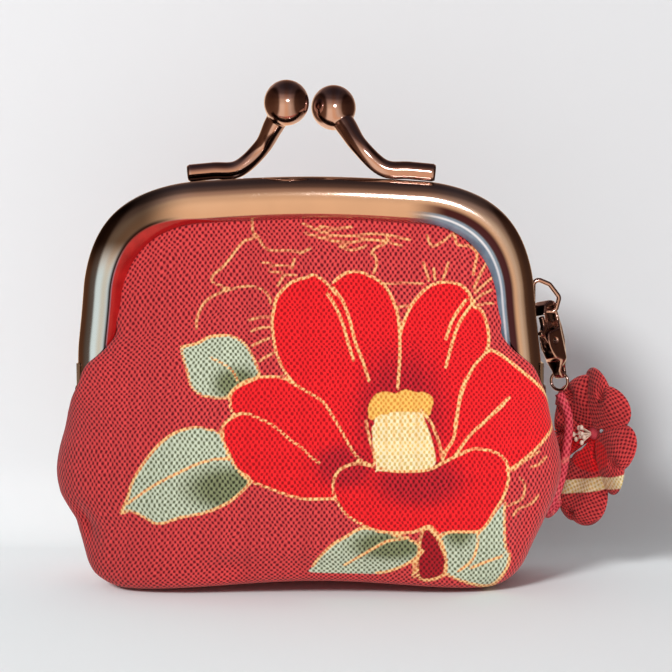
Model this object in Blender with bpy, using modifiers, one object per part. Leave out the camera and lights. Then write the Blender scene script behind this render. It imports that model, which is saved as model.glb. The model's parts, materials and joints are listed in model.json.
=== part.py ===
"""Clasp purse: a small kiss-lock coin purse with a rolled metal frame, a printed cotton bag and a flower charm.

Metres, +Z up. The front faces -Y. The origin is on the floor under the middle of the bag.
"""

import math

import bmesh
import bpy
from mathutils import Matrix, Vector

COLLECTION_NAME = "clasp_purse"
FRONT = -1
BACK = 1

# Clearances
GAP = 0.0003
RUNNING_CLEARANCE = 0.0001
WELD_DISTANCE = 0.00001

# Frame outline, seen from the front
FRAME_HALF_WIDTH = 0.0376
FRAME_TOP_HEIGHT = 0.0661
FRAME_LEAN = math.radians(7)
FRAME_CORNER_RADIUS = 0.020
FRAME_ARCH_RADIUS = 0.190
FRAME_STEPS = 32

# Frame channel section
SHEET_THICKNESS = 0.0006
CHANNEL_WIDTH = 0.0062
CHANNEL_DEPTH = 0.0046
CHANNEL_BACK_WALL = 0.0022
CHANNEL_CURL_END = math.radians(15)
CHANNEL_ARC_STEPS = 9

# Hinge
HINGE_HEIGHT = 0.0312
EAR_RADIUS = 0.0015
EAR_NECK_WIDTH = 0.0030
EAR_NECK_HEIGHT = 0.0050
RIVET_RADIUS = 0.0007
RIVET_HEAD_RADIUS = 0.0012
RIVET_HEAD_HEIGHT = 0.0005

# Ball clasps
BALL_RADIUS = 0.0036
FRONT_BALL_HEIGHT = 0.0773
BACK_BALL_HEIGHT = 0.0779
BALL_LEAN = 0.0016
CLASP_ROD_RADIUS = 0.00142
CLASP_NECK_SWELL = 1.30
CLASP_FOOT_OUTER_SHARE = 0.330
CLASP_FOOT_INNER_SHARE = 0.195
CLASP_KNEE_X = 0.0080
CLASP_KNEE_RISE = 0.0034

# Cloth bag
CLOTH_THICKNESS = 0.0005
LINING_THICKNESS = 0.0004
BAG_BOTTOM_HALF_WIDTH = 0.0296
BAG_BOTTOM_HALF_DEPTH = 0.0115
BAG_BELLY_HALF_WIDTH = 0.0403
BAG_BELLY_HEIGHT = 0.0205
BAG_HALF_DEPTH = 0.0140
BAG_RIM_HALF_WIDTH = 0.0382
BAG_RIM_HALF_DEPTH = 0.0130
BAG_RIM_CLEARANCE = 0.0004
BAG_SIDE_DIP = 0.0058
BAG_SIDE_DIP_START = 0.0310
BAG_STEPS_AROUND = 32
LINING_RIM_DROP = 0.0037
RIM_MARGIN = 0.0010
BOTTOM_CORNER_POWER = 5.0
BELLY_CORNER_POWER = 2.6
RIM_CORNER_POWER = 2.4

# Cloth above the hinge line
FLAP_TUCK_ANGLE = math.radians(20)
FLAP_BASE_HALF_WIDTH = 0.0314
FLAP_SIDE_CLEARANCE = 0.0010
FLAP_EDGE_DEPTH = 0.0026
FLAP_TAPER_POWER = 1.2
FLAP_COLUMNS = 16
FLAP_ROWS = 5

# Paper cord in the channel
PAPER_CORD_RADIUS = 0.0010
PAPER_CORD_SHARE = 0.9

# Side loop, soldered to the back half
LOOP_WIRE_RADIUS = 0.00038
LOOP_HEIGHT = 0.0056
LOOP_REACH = 0.0043
LOOP_CENTRE_HEIGHT = 0.0469
LOOP_CORNER_RADIUS = 0.0009
LOOP_HANG_SHARE = 0.47

# Lobster clasp
LOBSTER_LENGTH = 0.0132
LOBSTER_HALF_WIDTH = 0.0029
LOBSTER_THICKNESS = 0.0020
LOBSTER_EDGE_ROUND = 0.00025
LOBSTER_HOLE_HALF_WIDTH = 0.0015
LOBSTER_HOLE_HALF_HEIGHT = 0.0019
LOBSTER_HOOK_THICKNESS = 0.0010
LOBSTER_EYE_RADIUS = 0.0013
LOBSTER_EYE_HOLE_RADIUS = 0.00065
LOBSTER_EYE_THICKNESS = 0.0011
LOBSTER_TURN = math.radians(56)
LOBSTER_TILT = math.radians(14)
LEVER_THICKNESS = 0.0009
LEVER_WIDTH = 0.0009
LEVER_CLEARANCE = 0.00015
HANG_CLEARANCE = 0.0004
LEVER_PIN_RADIUS = 0.00035
SPRING_WIRE_RADIUS = 0.00012

# Jump ring
RING_RADIUS = 0.0015
RING_WIRE_RADIUS = 0.00025
RING_CLEARANCE = 0.0002
RING_STEPS = 20

# Charm
CHARM_CORD_RADIUS = 0.00075
CHARM_CORD_ROUTE = (
    (0.04104, 0.00245, 0.0305),
    (0.04165, 0.0024, 0.0288),
    (0.04220, 0.0023, 0.0268),
    (0.04215, 0.0021, 0.0245),
    (0.04190, 0.0018, 0.0219),
    (0.04165, 0.0014, 0.0193),
    (0.04130, 0.0010, 0.0168),
    (0.04065, 0.0007, 0.0145),
    (0.03980, 0.0006, 0.0126),
    (0.03920, 0.0012, 0.0110),
    (0.03950, 0.0029, 0.0103),
    (0.04060, 0.0049, 0.0106),
    (0.04180, 0.0069, 0.0117),
    (0.04260, 0.0085, 0.0136),
    (0.04430, 0.0097, 0.0159),
    (0.04620, 0.0096, 0.0175),
    (0.04770, 0.0085, 0.0189),
    (0.04870, 0.0071, 0.0207),
    (0.04920, 0.0058, 0.0224),
)
CHARM_CORD_STEPS = 2
FLOWER_CENTRE = (0.0470, 0.0030, 0.0238)
FLOWER_TURN = math.radians(58)
PETAL_LENGTHS = (0.0090, 0.0086, 0.0124, 0.0074, 0.0082)
FIRST_PETAL_ANGLE = math.radians(52)
PETAL_ROOT = 0.0022
PETAL_HALF_WIDTH = 0.0058
PETAL_HALF_THICKNESS = 0.0021
PETAL_NOTCH = 0.0012
PETAL_CREASE = 0.0007
PETAL_CUP = 0.0016
FLOWER_BUTTON_RADIUS = 0.0017
STAMEN_LENGTH = 0.0034
STAMEN_HEAD_RADIUS = 0.0006
STAMEN_COUNT = 5

# Values that follow from the ones above
BALL_SPACING = 2 * BALL_RADIUS + GAP
FRAME_END_HEIGHT = HINGE_HEIGHT + EAR_RADIUS + GAP
CHANNEL_CENTRE_INSET = CHANNEL_WIDTH / 2
CHANNEL_CENTRE_DEPTH = GAP / 2 + CHANNEL_DEPTH / 2
CHANNEL_MOUTH_INSET = CHANNEL_WIDTH + GAP
CLOTH_EDGE_INSET = CHANNEL_CENTRE_INSET + GAP + CLOTH_THICKNESS / 2
PAPER_CORD_INSET = CHANNEL_CENTRE_INSET - PAPER_CORD_RADIUS
RIM_TO_FLAP = CLOTH_THICKNESS + BAG_RIM_CLEARANCE
LINING_SHIFT = CLOTH_THICKNESS + GAP


def empty_scene():
    """Remove the start-up objects and make the two collections."""
    for item in list(bpy.data.objects):
        bpy.data.objects.remove(item, do_unlink=True)
    parts = bpy.data.collections.new(COLLECTION_NAME)
    cutters = bpy.data.collections.new(COLLECTION_NAME + "_cutters")
    bpy.context.scene.collection.children.link(parts)
    bpy.context.scene.collection.children.link(cutters)
    return parts, cutters


PARTS, CUTTERS = empty_scene()


def make_material(name, colour, roughness, metallic=0.0):
    """A Principled material of one finish."""
    material = bpy.data.materials.new(name)
    material.use_nodes = True
    shader = material.node_tree.nodes["Principled BSDF"]
    shader.inputs["Base Color"].default_value = (*colour, 1.0)
    shader.inputs["Roughness"].default_value = roughness
    shader.inputs["Metallic"].default_value = metallic
    material.diffuse_color = (*colour, 1.0)
    return material


GUNMETAL = make_material("gunmetal", (0.27, 0.20, 0.16), 0.18, 1.0)
DARK_METAL = make_material("dark_metal", (0.22, 0.17, 0.16), 0.22, 1.0)
RIVET_METAL = make_material("rivet_metal", (0.25, 0.22, 0.20), 0.30, 1.0)
SPRING_STEEL = make_material("spring_steel", (0.50, 0.50, 0.52), 0.30, 1.0)
PRINTED_COTTON = make_material("printed_cotton", (0.42, 0.03, 0.05), 0.85)
LINING_COTTON = make_material("lining_cotton", (0.50, 0.06, 0.07), 0.85)
PAPER = make_material("paper", (0.62, 0.52, 0.38), 0.90)
CORD_RED = make_material("cord_red", (0.50, 0.05, 0.09), 0.80)
PETAL_COTTON = make_material("petal_cotton", (0.45, 0.04, 0.06), 0.85)
STAMEN_PALE = make_material("stamen_pale", (0.80, 0.76, 0.66), 0.60)


def add_object(name, mesh, material, collection=None):
    """Put a mesh in the scene under its own name."""
    item = bpy.data.objects.new(name, mesh)
    (collection or PARTS).objects.link(item)
    if material:
        mesh.materials.clear()
        mesh.materials.append(material)
    return item


def mesh_from(bm, name, smooth_angle=math.radians(35)):
    """Turn a bmesh into a smooth shaded mesh with its hard edges kept."""
    mesh = bpy.data.meshes.new(name)
    bm.to_mesh(mesh)
    bm.free()
    mesh.shade_smooth()
    mesh.set_sharp_from_angle(angle=smooth_angle)
    return mesh


def hide_as_cutter(item):
    item.hide_render = True
    item.display_type = "WIRE"
    return item


def boolean(target, operand, operation):
    """Join, cut or trim one object with another."""
    modifier = target.modifiers.new(operation.title() + "_" + operand.name, "BOOLEAN")
    modifier.operation = operation
    modifier.object = operand
    return modifier


def weld(target):
    """Close up the hair-fine edges that a cut can leave."""
    modifier = target.modifiers.new("Weld", "WELD")
    modifier.merge_threshold = WELD_DISTANCE
    return modifier


def solidify(target, thickness, offset):
    modifier = target.modifiers.new("Thickness", "SOLIDIFY")
    modifier.thickness = thickness
    modifier.offset = offset
    modifier.use_even_offset = True
    return modifier


def mesh_of_curve(curve_object, name, material, collection=None):
    """Replace a curve by its own closed mesh, with the caps welded on."""
    bpy.context.view_layer.update()
    shape = curve_object.evaluated_get(bpy.context.evaluated_depsgraph_get())
    mesh = bpy.data.meshes.new_from_object(shape)
    bm = bmesh.new()
    bm.from_mesh(mesh)
    bmesh.ops.remove_doubles(bm, verts=bm.verts, dist=0.000001)
    bmesh.ops.recalc_face_normals(bm, faces=bm.faces)
    bm.to_mesh(mesh)
    bm.free()
    mesh.name = name
    mesh.shade_smooth()
    mesh.set_sharp_from_angle(angle=math.radians(40))
    item = add_object(name, mesh, material, collection)
    item.matrix_world = curve_object.matrix_world
    curve_data = curve_object.data
    bpy.data.objects.remove(curve_object)
    bpy.data.curves.remove(curve_data)
    return item


def tube(name, points, radius, material, closed=False, sides=2, radii=None, collection=None):
    """A wire or rod: a bevelled poly curve with filled caps."""
    curve = bpy.data.curves.new(name, "CURVE")
    curve.dimensions = "3D"
    curve.bevel_depth = radius
    curve.bevel_resolution = sides
    curve.use_fill_caps = not closed
    spline = curve.splines.new("POLY")
    spline.points.add(len(points) - 1)
    for index, point in enumerate(points):
        spline.points[index].co = (*point, 1.0)
        if radii:
            spline.points[index].radius = radii[index]
    spline.use_cyclic_u = closed
    item = bpy.data.objects.new(name, curve)
    (collection or PARTS).objects.link(item)
    curve.materials.append(material)
    return item


def flat_curve(name, outlines, thickness, rounding, material):
    """A plate cut to one or more closed outlines in its own XY plane, with rounded edges."""
    curve = bpy.data.curves.new(name, "CURVE")
    curve.dimensions = "2D"
    curve.fill_mode = "BOTH"
    curve.extrude = thickness / 2 - rounding
    curve.bevel_depth = rounding
    curve.bevel_resolution = 1
    curve.offset = -rounding
    for outline in outlines:
        spline = curve.splines.new("POLY")
        spline.points.add(len(outline) - 1)
        for index, (x, y) in enumerate(outline):
            spline.points[index].co = (x, y, 0.0, 1.0)
        spline.use_cyclic_u = True
    item = bpy.data.objects.new(name, curve)
    PARTS.objects.link(item)
    curve.materials.append(material)
    return item


def smooth_through(points, steps, closed=False):
    """Points of a Catmull-Rom curve that runs through the ones given."""
    places = [Vector(point) for point in points]
    count = len(places)
    result = []
    spans = count if closed else count - 1
    for index in range(spans):
        if closed:
            before, start = places[index - 1], places[index]
            end, after = places[(index + 1) % count], places[(index + 2) % count]
        else:
            start, end = places[index], places[index + 1]
            before = places[index - 1] if index else start * 2 - end
            after = places[index + 2] if index + 2 < count else end * 2 - start
        for step in range(steps):
            t = step / steps
            result.append(
                0.5
                * (
                    2 * start
                    + (end - before) * t
                    + (2 * before - 5 * start + 4 * end - after) * t**2
                    + (3 * start - before - 3 * end + after) * t**3
                )
            )
    if not closed:
        result.append(places[-1])
    return result


def rounded_corners(corners, radius, steps=4):
    """A closed outline whose corners are arcs of one radius."""
    result = []
    count = len(corners)
    for index in range(count):
        corner = Vector(corners[index])
        towards = (Vector(corners[index - 1]) - corner).normalized()
        onwards = (Vector(corners[(index + 1) % count]) - corner).normalized()
        half = towards.angle(onwards) / 2
        reach = radius / math.tan(half)
        centre = corner + (towards + onwards).normalized() * (radius / math.sin(half))
        start = corner + towards * reach - centre
        end = corner + onwards * reach - centre
        sweep = math.atan2(start.x * end.y - start.y * end.x, start.dot(end))
        for step in range(steps + 1):
            result.append(centre + Matrix.Rotation(sweep * step / steps, 2) @ start)
    return result


def turned(name, profile, segments, material, collection=None):
    """A turned shape round its own Z axis, from a profile that runs from top to bottom."""
    bm = bmesh.new()
    corners = [bm.verts.new((radius, 0.0, height)) for radius, height in profile]
    for first, second in zip(corners, corners[1:]):
        bm.edges.new((first, second))
    item = add_object(name, mesh_from(bm, name), material, collection)
    screw = item.modifiers.new("Turn", "SCREW")
    screw.axis = "Z"
    screw.angle = math.tau
    screw.steps = segments
    screw.render_steps = segments
    screw.use_merge_vertices = True
    screw.merge_threshold = 0.00001
    screw.use_smooth_shade = True
    return item


def frame_geometry():
    """Centre and end angle of the corner arc that joins the leaning side to the top arch."""
    lean_cos, lean_sin = math.cos(FRAME_LEAN), math.sin(FRAME_LEAN)
    side_distance = FRAME_HALF_WIDTH * lean_cos + FRAME_END_HEIGHT * lean_sin
    arch_centre = FRAME_TOP_HEIGHT - FRAME_ARCH_RADIUS
    reach = FRAME_ARCH_RADIUS - FRAME_CORNER_RADIUS
    base = (side_distance - FRAME_CORNER_RADIUS) / lean_cos
    slope = math.tan(FRAME_LEAN)
    a = 1 + slope**2
    b = -2 * (base * slope + arch_centre)
    c = base**2 + arch_centre**2 - reach**2
    corner_z = (-b + math.sqrt(b * b - 4 * a * c)) / (2 * a)
    corner_x = base - slope * corner_z
    arch_angle = math.atan2(corner_z - arch_centre, corner_x)
    return Vector((corner_x, corner_z)), Vector((0.0, arch_centre)), arch_angle


CORNER_CENTRE, ARCH_CENTRE, ARCH_ANGLE = frame_geometry()
ARCH_LENGTH = FRAME_ARCH_RADIUS * (math.pi / 2 - ARCH_ANGLE)
CORNER_LENGTH = FRAME_CORNER_RADIUS * (ARCH_ANGLE - FRAME_LEAN)
SIDE_NORMAL = Vector((math.cos(FRAME_LEAN), math.sin(FRAME_LEAN)))
SIDE_LENGTH = (
    CORNER_CENTRE + SIDE_NORMAL * FRAME_CORNER_RADIUS - Vector((FRAME_HALF_WIDTH, FRAME_END_HEIGHT))
).length
HALF_OUTLINE = ARCH_LENGTH + CORNER_LENGTH + SIDE_LENGTH


def frame_point(fraction, inset=0.0):
    """A point of the frame's outline, from -1 at the left end over 0 at the top to 1 at the right end.

    inset moves it inwards, square to the outline. Returns x and z.
    """
    along = abs(fraction) * HALF_OUTLINE
    side = math.copysign(1.0, fraction)
    if along <= ARCH_LENGTH:
        angle = math.pi / 2 - along / FRAME_ARCH_RADIUS
        point = ARCH_CENTRE + (FRAME_ARCH_RADIUS - inset) * Vector((math.cos(angle), math.sin(angle)))
    elif along <= ARCH_LENGTH + CORNER_LENGTH:
        angle = ARCH_ANGLE - (along - ARCH_LENGTH) / FRAME_CORNER_RADIUS
        point = CORNER_CENTRE + (FRAME_CORNER_RADIUS - inset) * Vector((math.cos(angle), math.sin(angle)))
    else:
        down = along - ARCH_LENGTH - CORNER_LENGTH
        corner = CORNER_CENTRE + (FRAME_CORNER_RADIUS - inset) * SIDE_NORMAL
        point = corner + down * Vector((math.sin(FRAME_LEAN), -math.cos(FRAME_LEAN)))
    return side * point.x, point.y


def side_at(height):
    """How far out the frame's right side is at a height below its corner."""
    return FRAME_HALF_WIDTH - (height - FRAME_END_HEIGHT) * math.tan(FRAME_LEAN)


def channel_section():
    """The channel's open middle line as inset and depth: the back wall, the spine and the curl."""
    half_width = CHANNEL_WIDTH / 2 - SHEET_THICKNESS / 2
    half_depth = CHANNEL_DEPTH / 2 - SHEET_THICKNESS / 2
    bottom = CHANNEL_CENTRE_DEPTH - half_depth
    section = [(CHANNEL_CENTRE_INSET + CHANNEL_BACK_WALL, bottom)]
    sweep = math.radians(270) - CHANNEL_CURL_END
    for step in range(CHANNEL_ARC_STEPS + 1):
        angle = math.radians(270) - sweep * step / CHANNEL_ARC_STEPS
        section.append(
            (
                CHANNEL_CENTRE_INSET + half_width * math.cos(angle),
                CHANNEL_CENTRE_DEPTH + half_depth * math.sin(angle),
            )
        )
    return section


def channel_shell(name, side):
    """The channel section swept along the frame's outline, as an open sheet."""
    path = bpy.data.curves.new(name + "_path", "CURVE")
    path.dimensions = "2D"
    spline = path.splines.new("POLY")
    fractions = [2 * step / FRAME_STEPS - 1 for step in range(FRAME_STEPS + 1)]
    spline.points.add(FRAME_STEPS)
    for point, fraction in zip(spline.points, fractions):
        x, z = frame_point(fraction)
        point.co = (x, z, 0.0, 1.0)
    section = bpy.data.curves.new(name + "_section", "CURVE")
    section.dimensions = "2D"
    outline = section.splines.new("POLY")
    rows = channel_section()
    outline.points.add(len(rows) - 1)
    for point, (inset, depth) in zip(outline.points, rows):
        point.co = (inset, -side * depth, 0.0, 1.0)
    section_object = bpy.data.objects.new(name + "_section", section)
    CUTTERS.objects.link(section_object)
    hide_as_cutter(section_object)
    path.bevel_mode = "OBJECT"
    path.bevel_object = section_object
    path_object = bpy.data.objects.new(name + "_path", path)
    PARTS.objects.link(path_object)
    path_object.rotation_euler = (math.pi / 2, 0.0, 0.0)
    shell = mesh_of_curve(path_object, name, GUNMETAL)
    shell.data.transform(shell.matrix_world)
    shell.matrix_world = Matrix.Identity(4)
    bpy.data.objects.remove(section_object)
    bpy.data.curves.remove(section)
    return shell


def box(name, low, high, material=None, collection=None):
    """A block between two corners, from a cube."""
    bm = bmesh.new()
    bmesh.ops.create_cube(bm, size=1.0)
    size = Vector(high) - Vector(low)
    middle = (Vector(high) + Vector(low)) / 2
    bmesh.ops.transform(bm, matrix=Matrix.Translation(middle) @ Matrix.Diagonal((*size, 1.0)), verts=bm.verts)
    return add_object(name, mesh_from(bm, name), material, collection)


def rod_along_x(name, radius, low_x, high_x, y, z, segments=24, collection=None):
    """A cylinder along X between two places."""
    bm = bmesh.new()
    bmesh.ops.create_cone(
        bm, cap_ends=True, segments=segments, radius1=radius, radius2=radius, depth=high_x - low_x
    )
    place = Matrix.Translation(((low_x + high_x) / 2, y, z)) @ Matrix.Rotation(math.pi / 2, 4, "Y")
    bmesh.ops.transform(bm, matrix=place, verts=bm.verts)
    return add_object(name, mesh_from(bm, name), None, collection)


def ear_outer_x(side):
    """Outer face of a hinge ear: those of the back half sit inside those of the front half."""
    step_in = SHEET_THICKNESS + GAP if side == BACK else 0.0
    return FRAME_HALF_WIDTH - step_in


def add_ears(frame, side):
    """Join the two hinge ears to a frame half and drill them for the rivets."""
    for end, label in ((-1, "left"), (1, "right")):
        outer = ear_outer_x(side)
        inner = outer - SHEET_THICKNESS
        low, high = sorted((end * outer, end * inner))
        disc = hide_as_cutter(
            rod_along_x(f"{frame.name}_{label}_ear", EAR_RADIUS, low, high, 0.0, HINGE_HEIGHT, 24, CUTTERS)
        )
        near_y = side * (GAP / 2 + SHEET_THICKNESS / 4)
        far_y = side * (CHANNEL_CENTRE_DEPTH + EAR_NECK_WIDTH / 2)
        neck_low_y, neck_high_y = sorted((near_y, far_y))
        neck_top = HINGE_HEIGHT + EAR_NECK_HEIGHT
        if side == BACK:
            neck_top = FRAME_END_HEIGHT + SHEET_THICKNESS / 2
        neck = hide_as_cutter(
            box(
                f"{frame.name}_{label}_neck",
                (low, neck_low_y, HINGE_HEIGHT - EAR_RADIUS * 0.6),
                (high, neck_high_y, neck_top),
                None,
                CUTTERS,
            )
        )
        boolean(frame, neck, "UNION")
        boolean(frame, disc, "UNION")
        if side == BACK:
            step_top = HINGE_HEIGHT + EAR_NECK_HEIGHT
            step_outer = side_at(step_top) - SHEET_THICKNESS / 3
            step_low, step_high = sorted((end * inner, end * step_outer))
            step = hide_as_cutter(
                box(
                    f"{frame.name}_{label}_step",
                    (step_low, neck_low_y, FRAME_END_HEIGHT),
                    (step_high, neck_high_y, step_top),
                    None,
                    CUTTERS,
                )
            )
            boolean(frame, step, "UNION")
        hole = hide_as_cutter(
            rod_along_x(
                f"{frame.name}_{label}_hole",
                RIVET_RADIUS + RUNNING_CLEARANCE,
                low - SHEET_THICKNESS,
                high + SHEET_THICKNESS,
                0.0,
                HINGE_HEIGHT,
                24,
                CUTTERS,
            )
        )
        boolean(frame, hole, "DIFFERENCE")


def build_frame(name, side):
    """One half of the rolled frame with its ears."""
    frame = channel_shell(name, side)
    solidify(frame, SHEET_THICKNESS, 0.0)
    add_ears(frame, side)
    return frame


def build_rivet(name, end):
    """A hinge rivet with a head each side of the two ears."""
    outer_face = FRAME_HALF_WIDTH + GAP
    inner_face = ear_outer_x(BACK) - SHEET_THICKNESS - GAP
    half_grip = (outer_face - inner_face) / 2
    head = half_grip + RIVET_HEAD_HEIGHT
    profile = (
        (0.0, head),
        (RIVET_HEAD_RADIUS * 0.75, head),
        (RIVET_HEAD_RADIUS, head - RIVET_HEAD_HEIGHT * 0.5),
        (RIVET_HEAD_RADIUS, half_grip),
        (RIVET_RADIUS, half_grip),
        (RIVET_RADIUS, -half_grip),
        (RIVET_HEAD_RADIUS, -half_grip),
        (RIVET_HEAD_RADIUS, -head + RIVET_HEAD_HEIGHT * 0.5),
        (RIVET_HEAD_RADIUS * 0.75, -head),
        (0.0, -head),
    )
    rivet = turned(name, profile, 20, RIVET_METAL)
    rivet.location = (end * (outer_face + inner_face) / 2, 0.0, HINGE_HEIGHT)
    rivet.rotation_euler = (0.0, math.pi / 2, 0.0)
    return rivet


def build_ball_clasp(name, side, end, ball_height):
    """Foot bar, bent rod and ball, in one piece. end is the side of the purse its foot lies on."""
    foot_y = side * CHANNEL_CENTRE_DEPTH
    above_frame = -(GAP + CLASP_ROD_RADIUS)
    foot_out_x, foot_out_z = frame_point(end * CLASP_FOOT_OUTER_SHARE, above_frame)
    foot_in_x, foot_in_z = frame_point(end * CLASP_FOOT_INNER_SHARE, above_frame)
    foot_out = Vector((foot_out_x, foot_y, foot_out_z))
    foot_in = Vector((foot_in_x, foot_y, foot_in_z))
    knee = Vector((end * CLASP_KNEE_X, foot_y, foot_in_z + CLASP_KNEE_RISE))
    ball = Vector((end * BALL_SPACING / 2, -side * BALL_LEAN, ball_height))
    points = smooth_through([foot_out, foot_out.lerp(foot_in, 0.5), foot_in, knee, knee.lerp(ball, 0.5), ball], 3)
    swell_from = len(points) * 0.6
    radii = [
        1.0 + (CLASP_NECK_SWELL - 1.0) * max(0.0, (index - swell_from) / (len(points) - swell_from))
        for index in range(len(points))
    ]
    rod_curve = tube(name + "_rod", points, CLASP_ROD_RADIUS, DARK_METAL, sides=2, radii=radii)
    clasp = mesh_of_curve(rod_curve, name, DARK_METAL)
    bm = bmesh.new()
    bmesh.ops.create_uvsphere(bm, u_segments=20, v_segments=12, radius=BALL_RADIUS)
    bmesh.ops.translate(bm, verts=bm.verts, vec=ball)
    sphere = hide_as_cutter(add_object(name + "_ball", mesh_from(bm, name + "_ball"), None, CUTTERS))
    boolean(clasp, sphere, "UNION")
    return clasp


def rounded_oval(half_width, half_depth, power, count):
    """Points of a superellipse, from +X round through +Y."""
    result = []
    for step in range(count):
        angle = math.tau * step / count
        cosine, sine = math.cos(angle), math.sin(angle)
        result.append(
            (
                half_width * math.copysign(abs(cosine) ** (2 / power), cosine),
                half_depth * math.copysign(abs(sine) ** (2 / power), sine),
            )
        )
    return result


def bag_sections():
    """Height, half width, half depth and corner power of the bag's level sections, up to the belly and the rim."""
    low = (BAG_BOTTOM_HALF_WIDTH, BAG_BOTTOM_HALF_DEPTH, BOTTOM_CORNER_POWER)
    belly = (BAG_BELLY_HALF_WIDTH, BAG_HALF_DEPTH, BELLY_CORNER_POWER)
    rim = (BAG_RIM_HALF_WIDTH, BAG_RIM_HALF_DEPTH, RIM_CORNER_POWER)
    rows = [(0.0, *low)]
    for rise, width_share, depth_share in (
        (0.035, 0.14, 0.50),
        (0.16, 0.34, 0.90),
        (0.31, 0.50, 1.00),
        (0.54, 0.69, 1.00),
        (0.78, 0.93, 1.00),
        (1.00, 1.00, 1.00),
    ):
        rows.append(
            (
                rise * BAG_BELLY_HEIGHT,
                low[0] + (belly[0] - low[0]) * width_share,
                low[1] + (belly[1] - low[1]) * depth_share,
                low[2] + (belly[2] - low[2]) * rise**0.5,
            )
        )
    for rise, share in ((0.33, 0.20), (0.67, 0.62), (1.00, 1.00)):
        rows.append(
            (
                BAG_BELLY_HEIGHT + (HINGE_HEIGHT - BAG_BELLY_HEIGHT) * rise,
                belly[0] + (rim[0] - belly[0]) * share,
                belly[1] + (rim[1] - belly[1]) * share,
                belly[2] + (rim[2] - belly[2]) * share,
            )
        )
    return rows


def side_dip(x, height):
    """How far the rim is cut down at the side seams, where the frame's ends swing."""
    past = max(0.0, abs(x) - BAG_SIDE_DIP_START) / (BAG_RIM_HALF_WIDTH - BAG_SIDE_DIP_START)
    share = max(0.0, height - BAG_BELLY_HEIGHT) / (HINGE_HEIGHT - BAG_BELLY_HEIGHT)
    return BAG_SIDE_DIP * min(past, 1.05) ** 1.5 * share


def section_between(rows, height):
    """The bag's section at any height, between the two rows next to it."""
    for low, high in zip(rows, rows[1:]):
        if height <= high[0]:
            share = (height - low[0]) / (high[0] - low[0])
            return tuple(a + (b - a) * share for a, b in zip(low, high))
    return rows[-1]


def build_vessel(name, wall, inset, rim_drop, material):
    """A bag body lofted through its level sections and thickened inwards. inset is from the outer cloth's face."""
    rows = bag_sections()
    top = HINGE_HEIGHT - rim_drop
    levels = [inset + row[0] for row in rows if inset + row[0] < top - RIM_MARGIN]
    levels.append(top)
    bm = bmesh.new()
    rings = []
    for height in levels:
        just_below = section_between(rows, height - inset)
        here = section_between(rows, height)
        _, half_width, half_depth, power = (min(pair) for pair in zip(just_below, here))
        ring = []
        for x, y in rounded_oval(half_width - inset, half_depth - inset, power, BAG_STEPS_AROUND):
            ring.append(bm.verts.new((x, y, height - side_dip(x, height))))
        rings.append(ring)
    bm.faces.new(list(reversed(rings[0])))
    for lower, upper in zip(rings, rings[1:]):
        for index in range(BAG_STEPS_AROUND):
            following = (index + 1) % BAG_STEPS_AROUND
            bm.faces.new((lower[index], lower[following], upper[following], upper[index]))
    vessel = add_object(name, mesh_from(bm, name, math.radians(50)), material)
    solidify(vessel, wall, -1.0)
    return vessel


def flap_reach(x):
    """How far in front of the hinge axis the outer cloth of a flap is at the hinge line."""
    depth = BAG_RIM_HALF_DEPTH - RIM_TO_FLAP
    half_width = FLAP_BASE_HALF_WIDTH + FLAP_SIDE_CLEARANCE
    return depth * (1 - (abs(x) / half_width) ** RIM_CORNER_POWER) ** (1 / RIM_CORNER_POWER)


def build_flap(name, side, wall, shift, material):
    """Cloth from the hinge line up into the frame's channel.

    The surface is the outer cloth's outer face. shift sets a lining inside it, parallel to it all over.
    """
    bm = bmesh.new()
    columns = []
    for step in range(FLAP_COLUMNS + 1):
        fraction = (2 * step / FLAP_COLUMNS - 1) * 0.985
        base_x = fraction * FLAP_BASE_HALF_WIDTH
        reach = flap_reach(base_x)
        column = []
        for turn in (1.0, 0.5):
            angle = FLAP_TUCK_ANGLE * turn
            column.append((base_x, reach * math.cos(angle), HINGE_HEIGHT - reach * math.sin(angle)))
        top_x, top_z = frame_point(fraction, CHANNEL_MOUTH_INSET)
        for row in range(FLAP_ROWS + 1):
            rise = row / FLAP_ROWS
            bulge = (reach - FLAP_EDGE_DEPTH) * (1 - rise) ** FLAP_TAPER_POWER
            x = base_x + (top_x - base_x) * rise
            z = HINGE_HEIGHT + (top_z - HINGE_HEIGHT) * rise
            column.append((x, FLAP_EDGE_DEPTH + bulge, z))
        tucked_x, tucked_z = frame_point(fraction, CLOTH_EDGE_INSET)
        column.append((tucked_x, FLAP_EDGE_DEPTH, tucked_z))
        columns.append([bm.verts.new((x, side * y, z)) for x, y, z in column])
    for left, right in zip(columns, columns[1:]):
        for index in range(len(left) - 1):
            corners = [left[index], right[index], right[index + 1], left[index + 1]]
            if side == BACK:
                corners.reverse()
            bm.faces.new(corners)
    flap = add_object(name, mesh_from(bm, name, math.radians(60)), material)
    solidify(flap, wall, -1.0 - 2.0 * shift / wall)
    return flap


def build_paper_cord(name, side):
    """The paper cord that wedges the cloth in a channel."""
    points = []
    steps = FRAME_STEPS
    for step in range(steps + 1):
        x, z = frame_point((2 * step / steps - 1) * PAPER_CORD_SHARE, PAPER_CORD_INSET)
        points.append((x, side * CHANNEL_CENTRE_DEPTH, z))
    return tube(name, points, PAPER_CORD_RADIUS, PAPER, sides=0)


def loop_place():
    """Where the side loop stands: its leg along the frame's outer side."""
    leg_x = side_at(LOOP_CENTRE_HEIGHT) + GAP + LOOP_WIRE_RADIUS
    return Vector((leg_x, CHANNEL_CENTRE_DEPTH, LOOP_CENTRE_HEIGHT))


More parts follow.
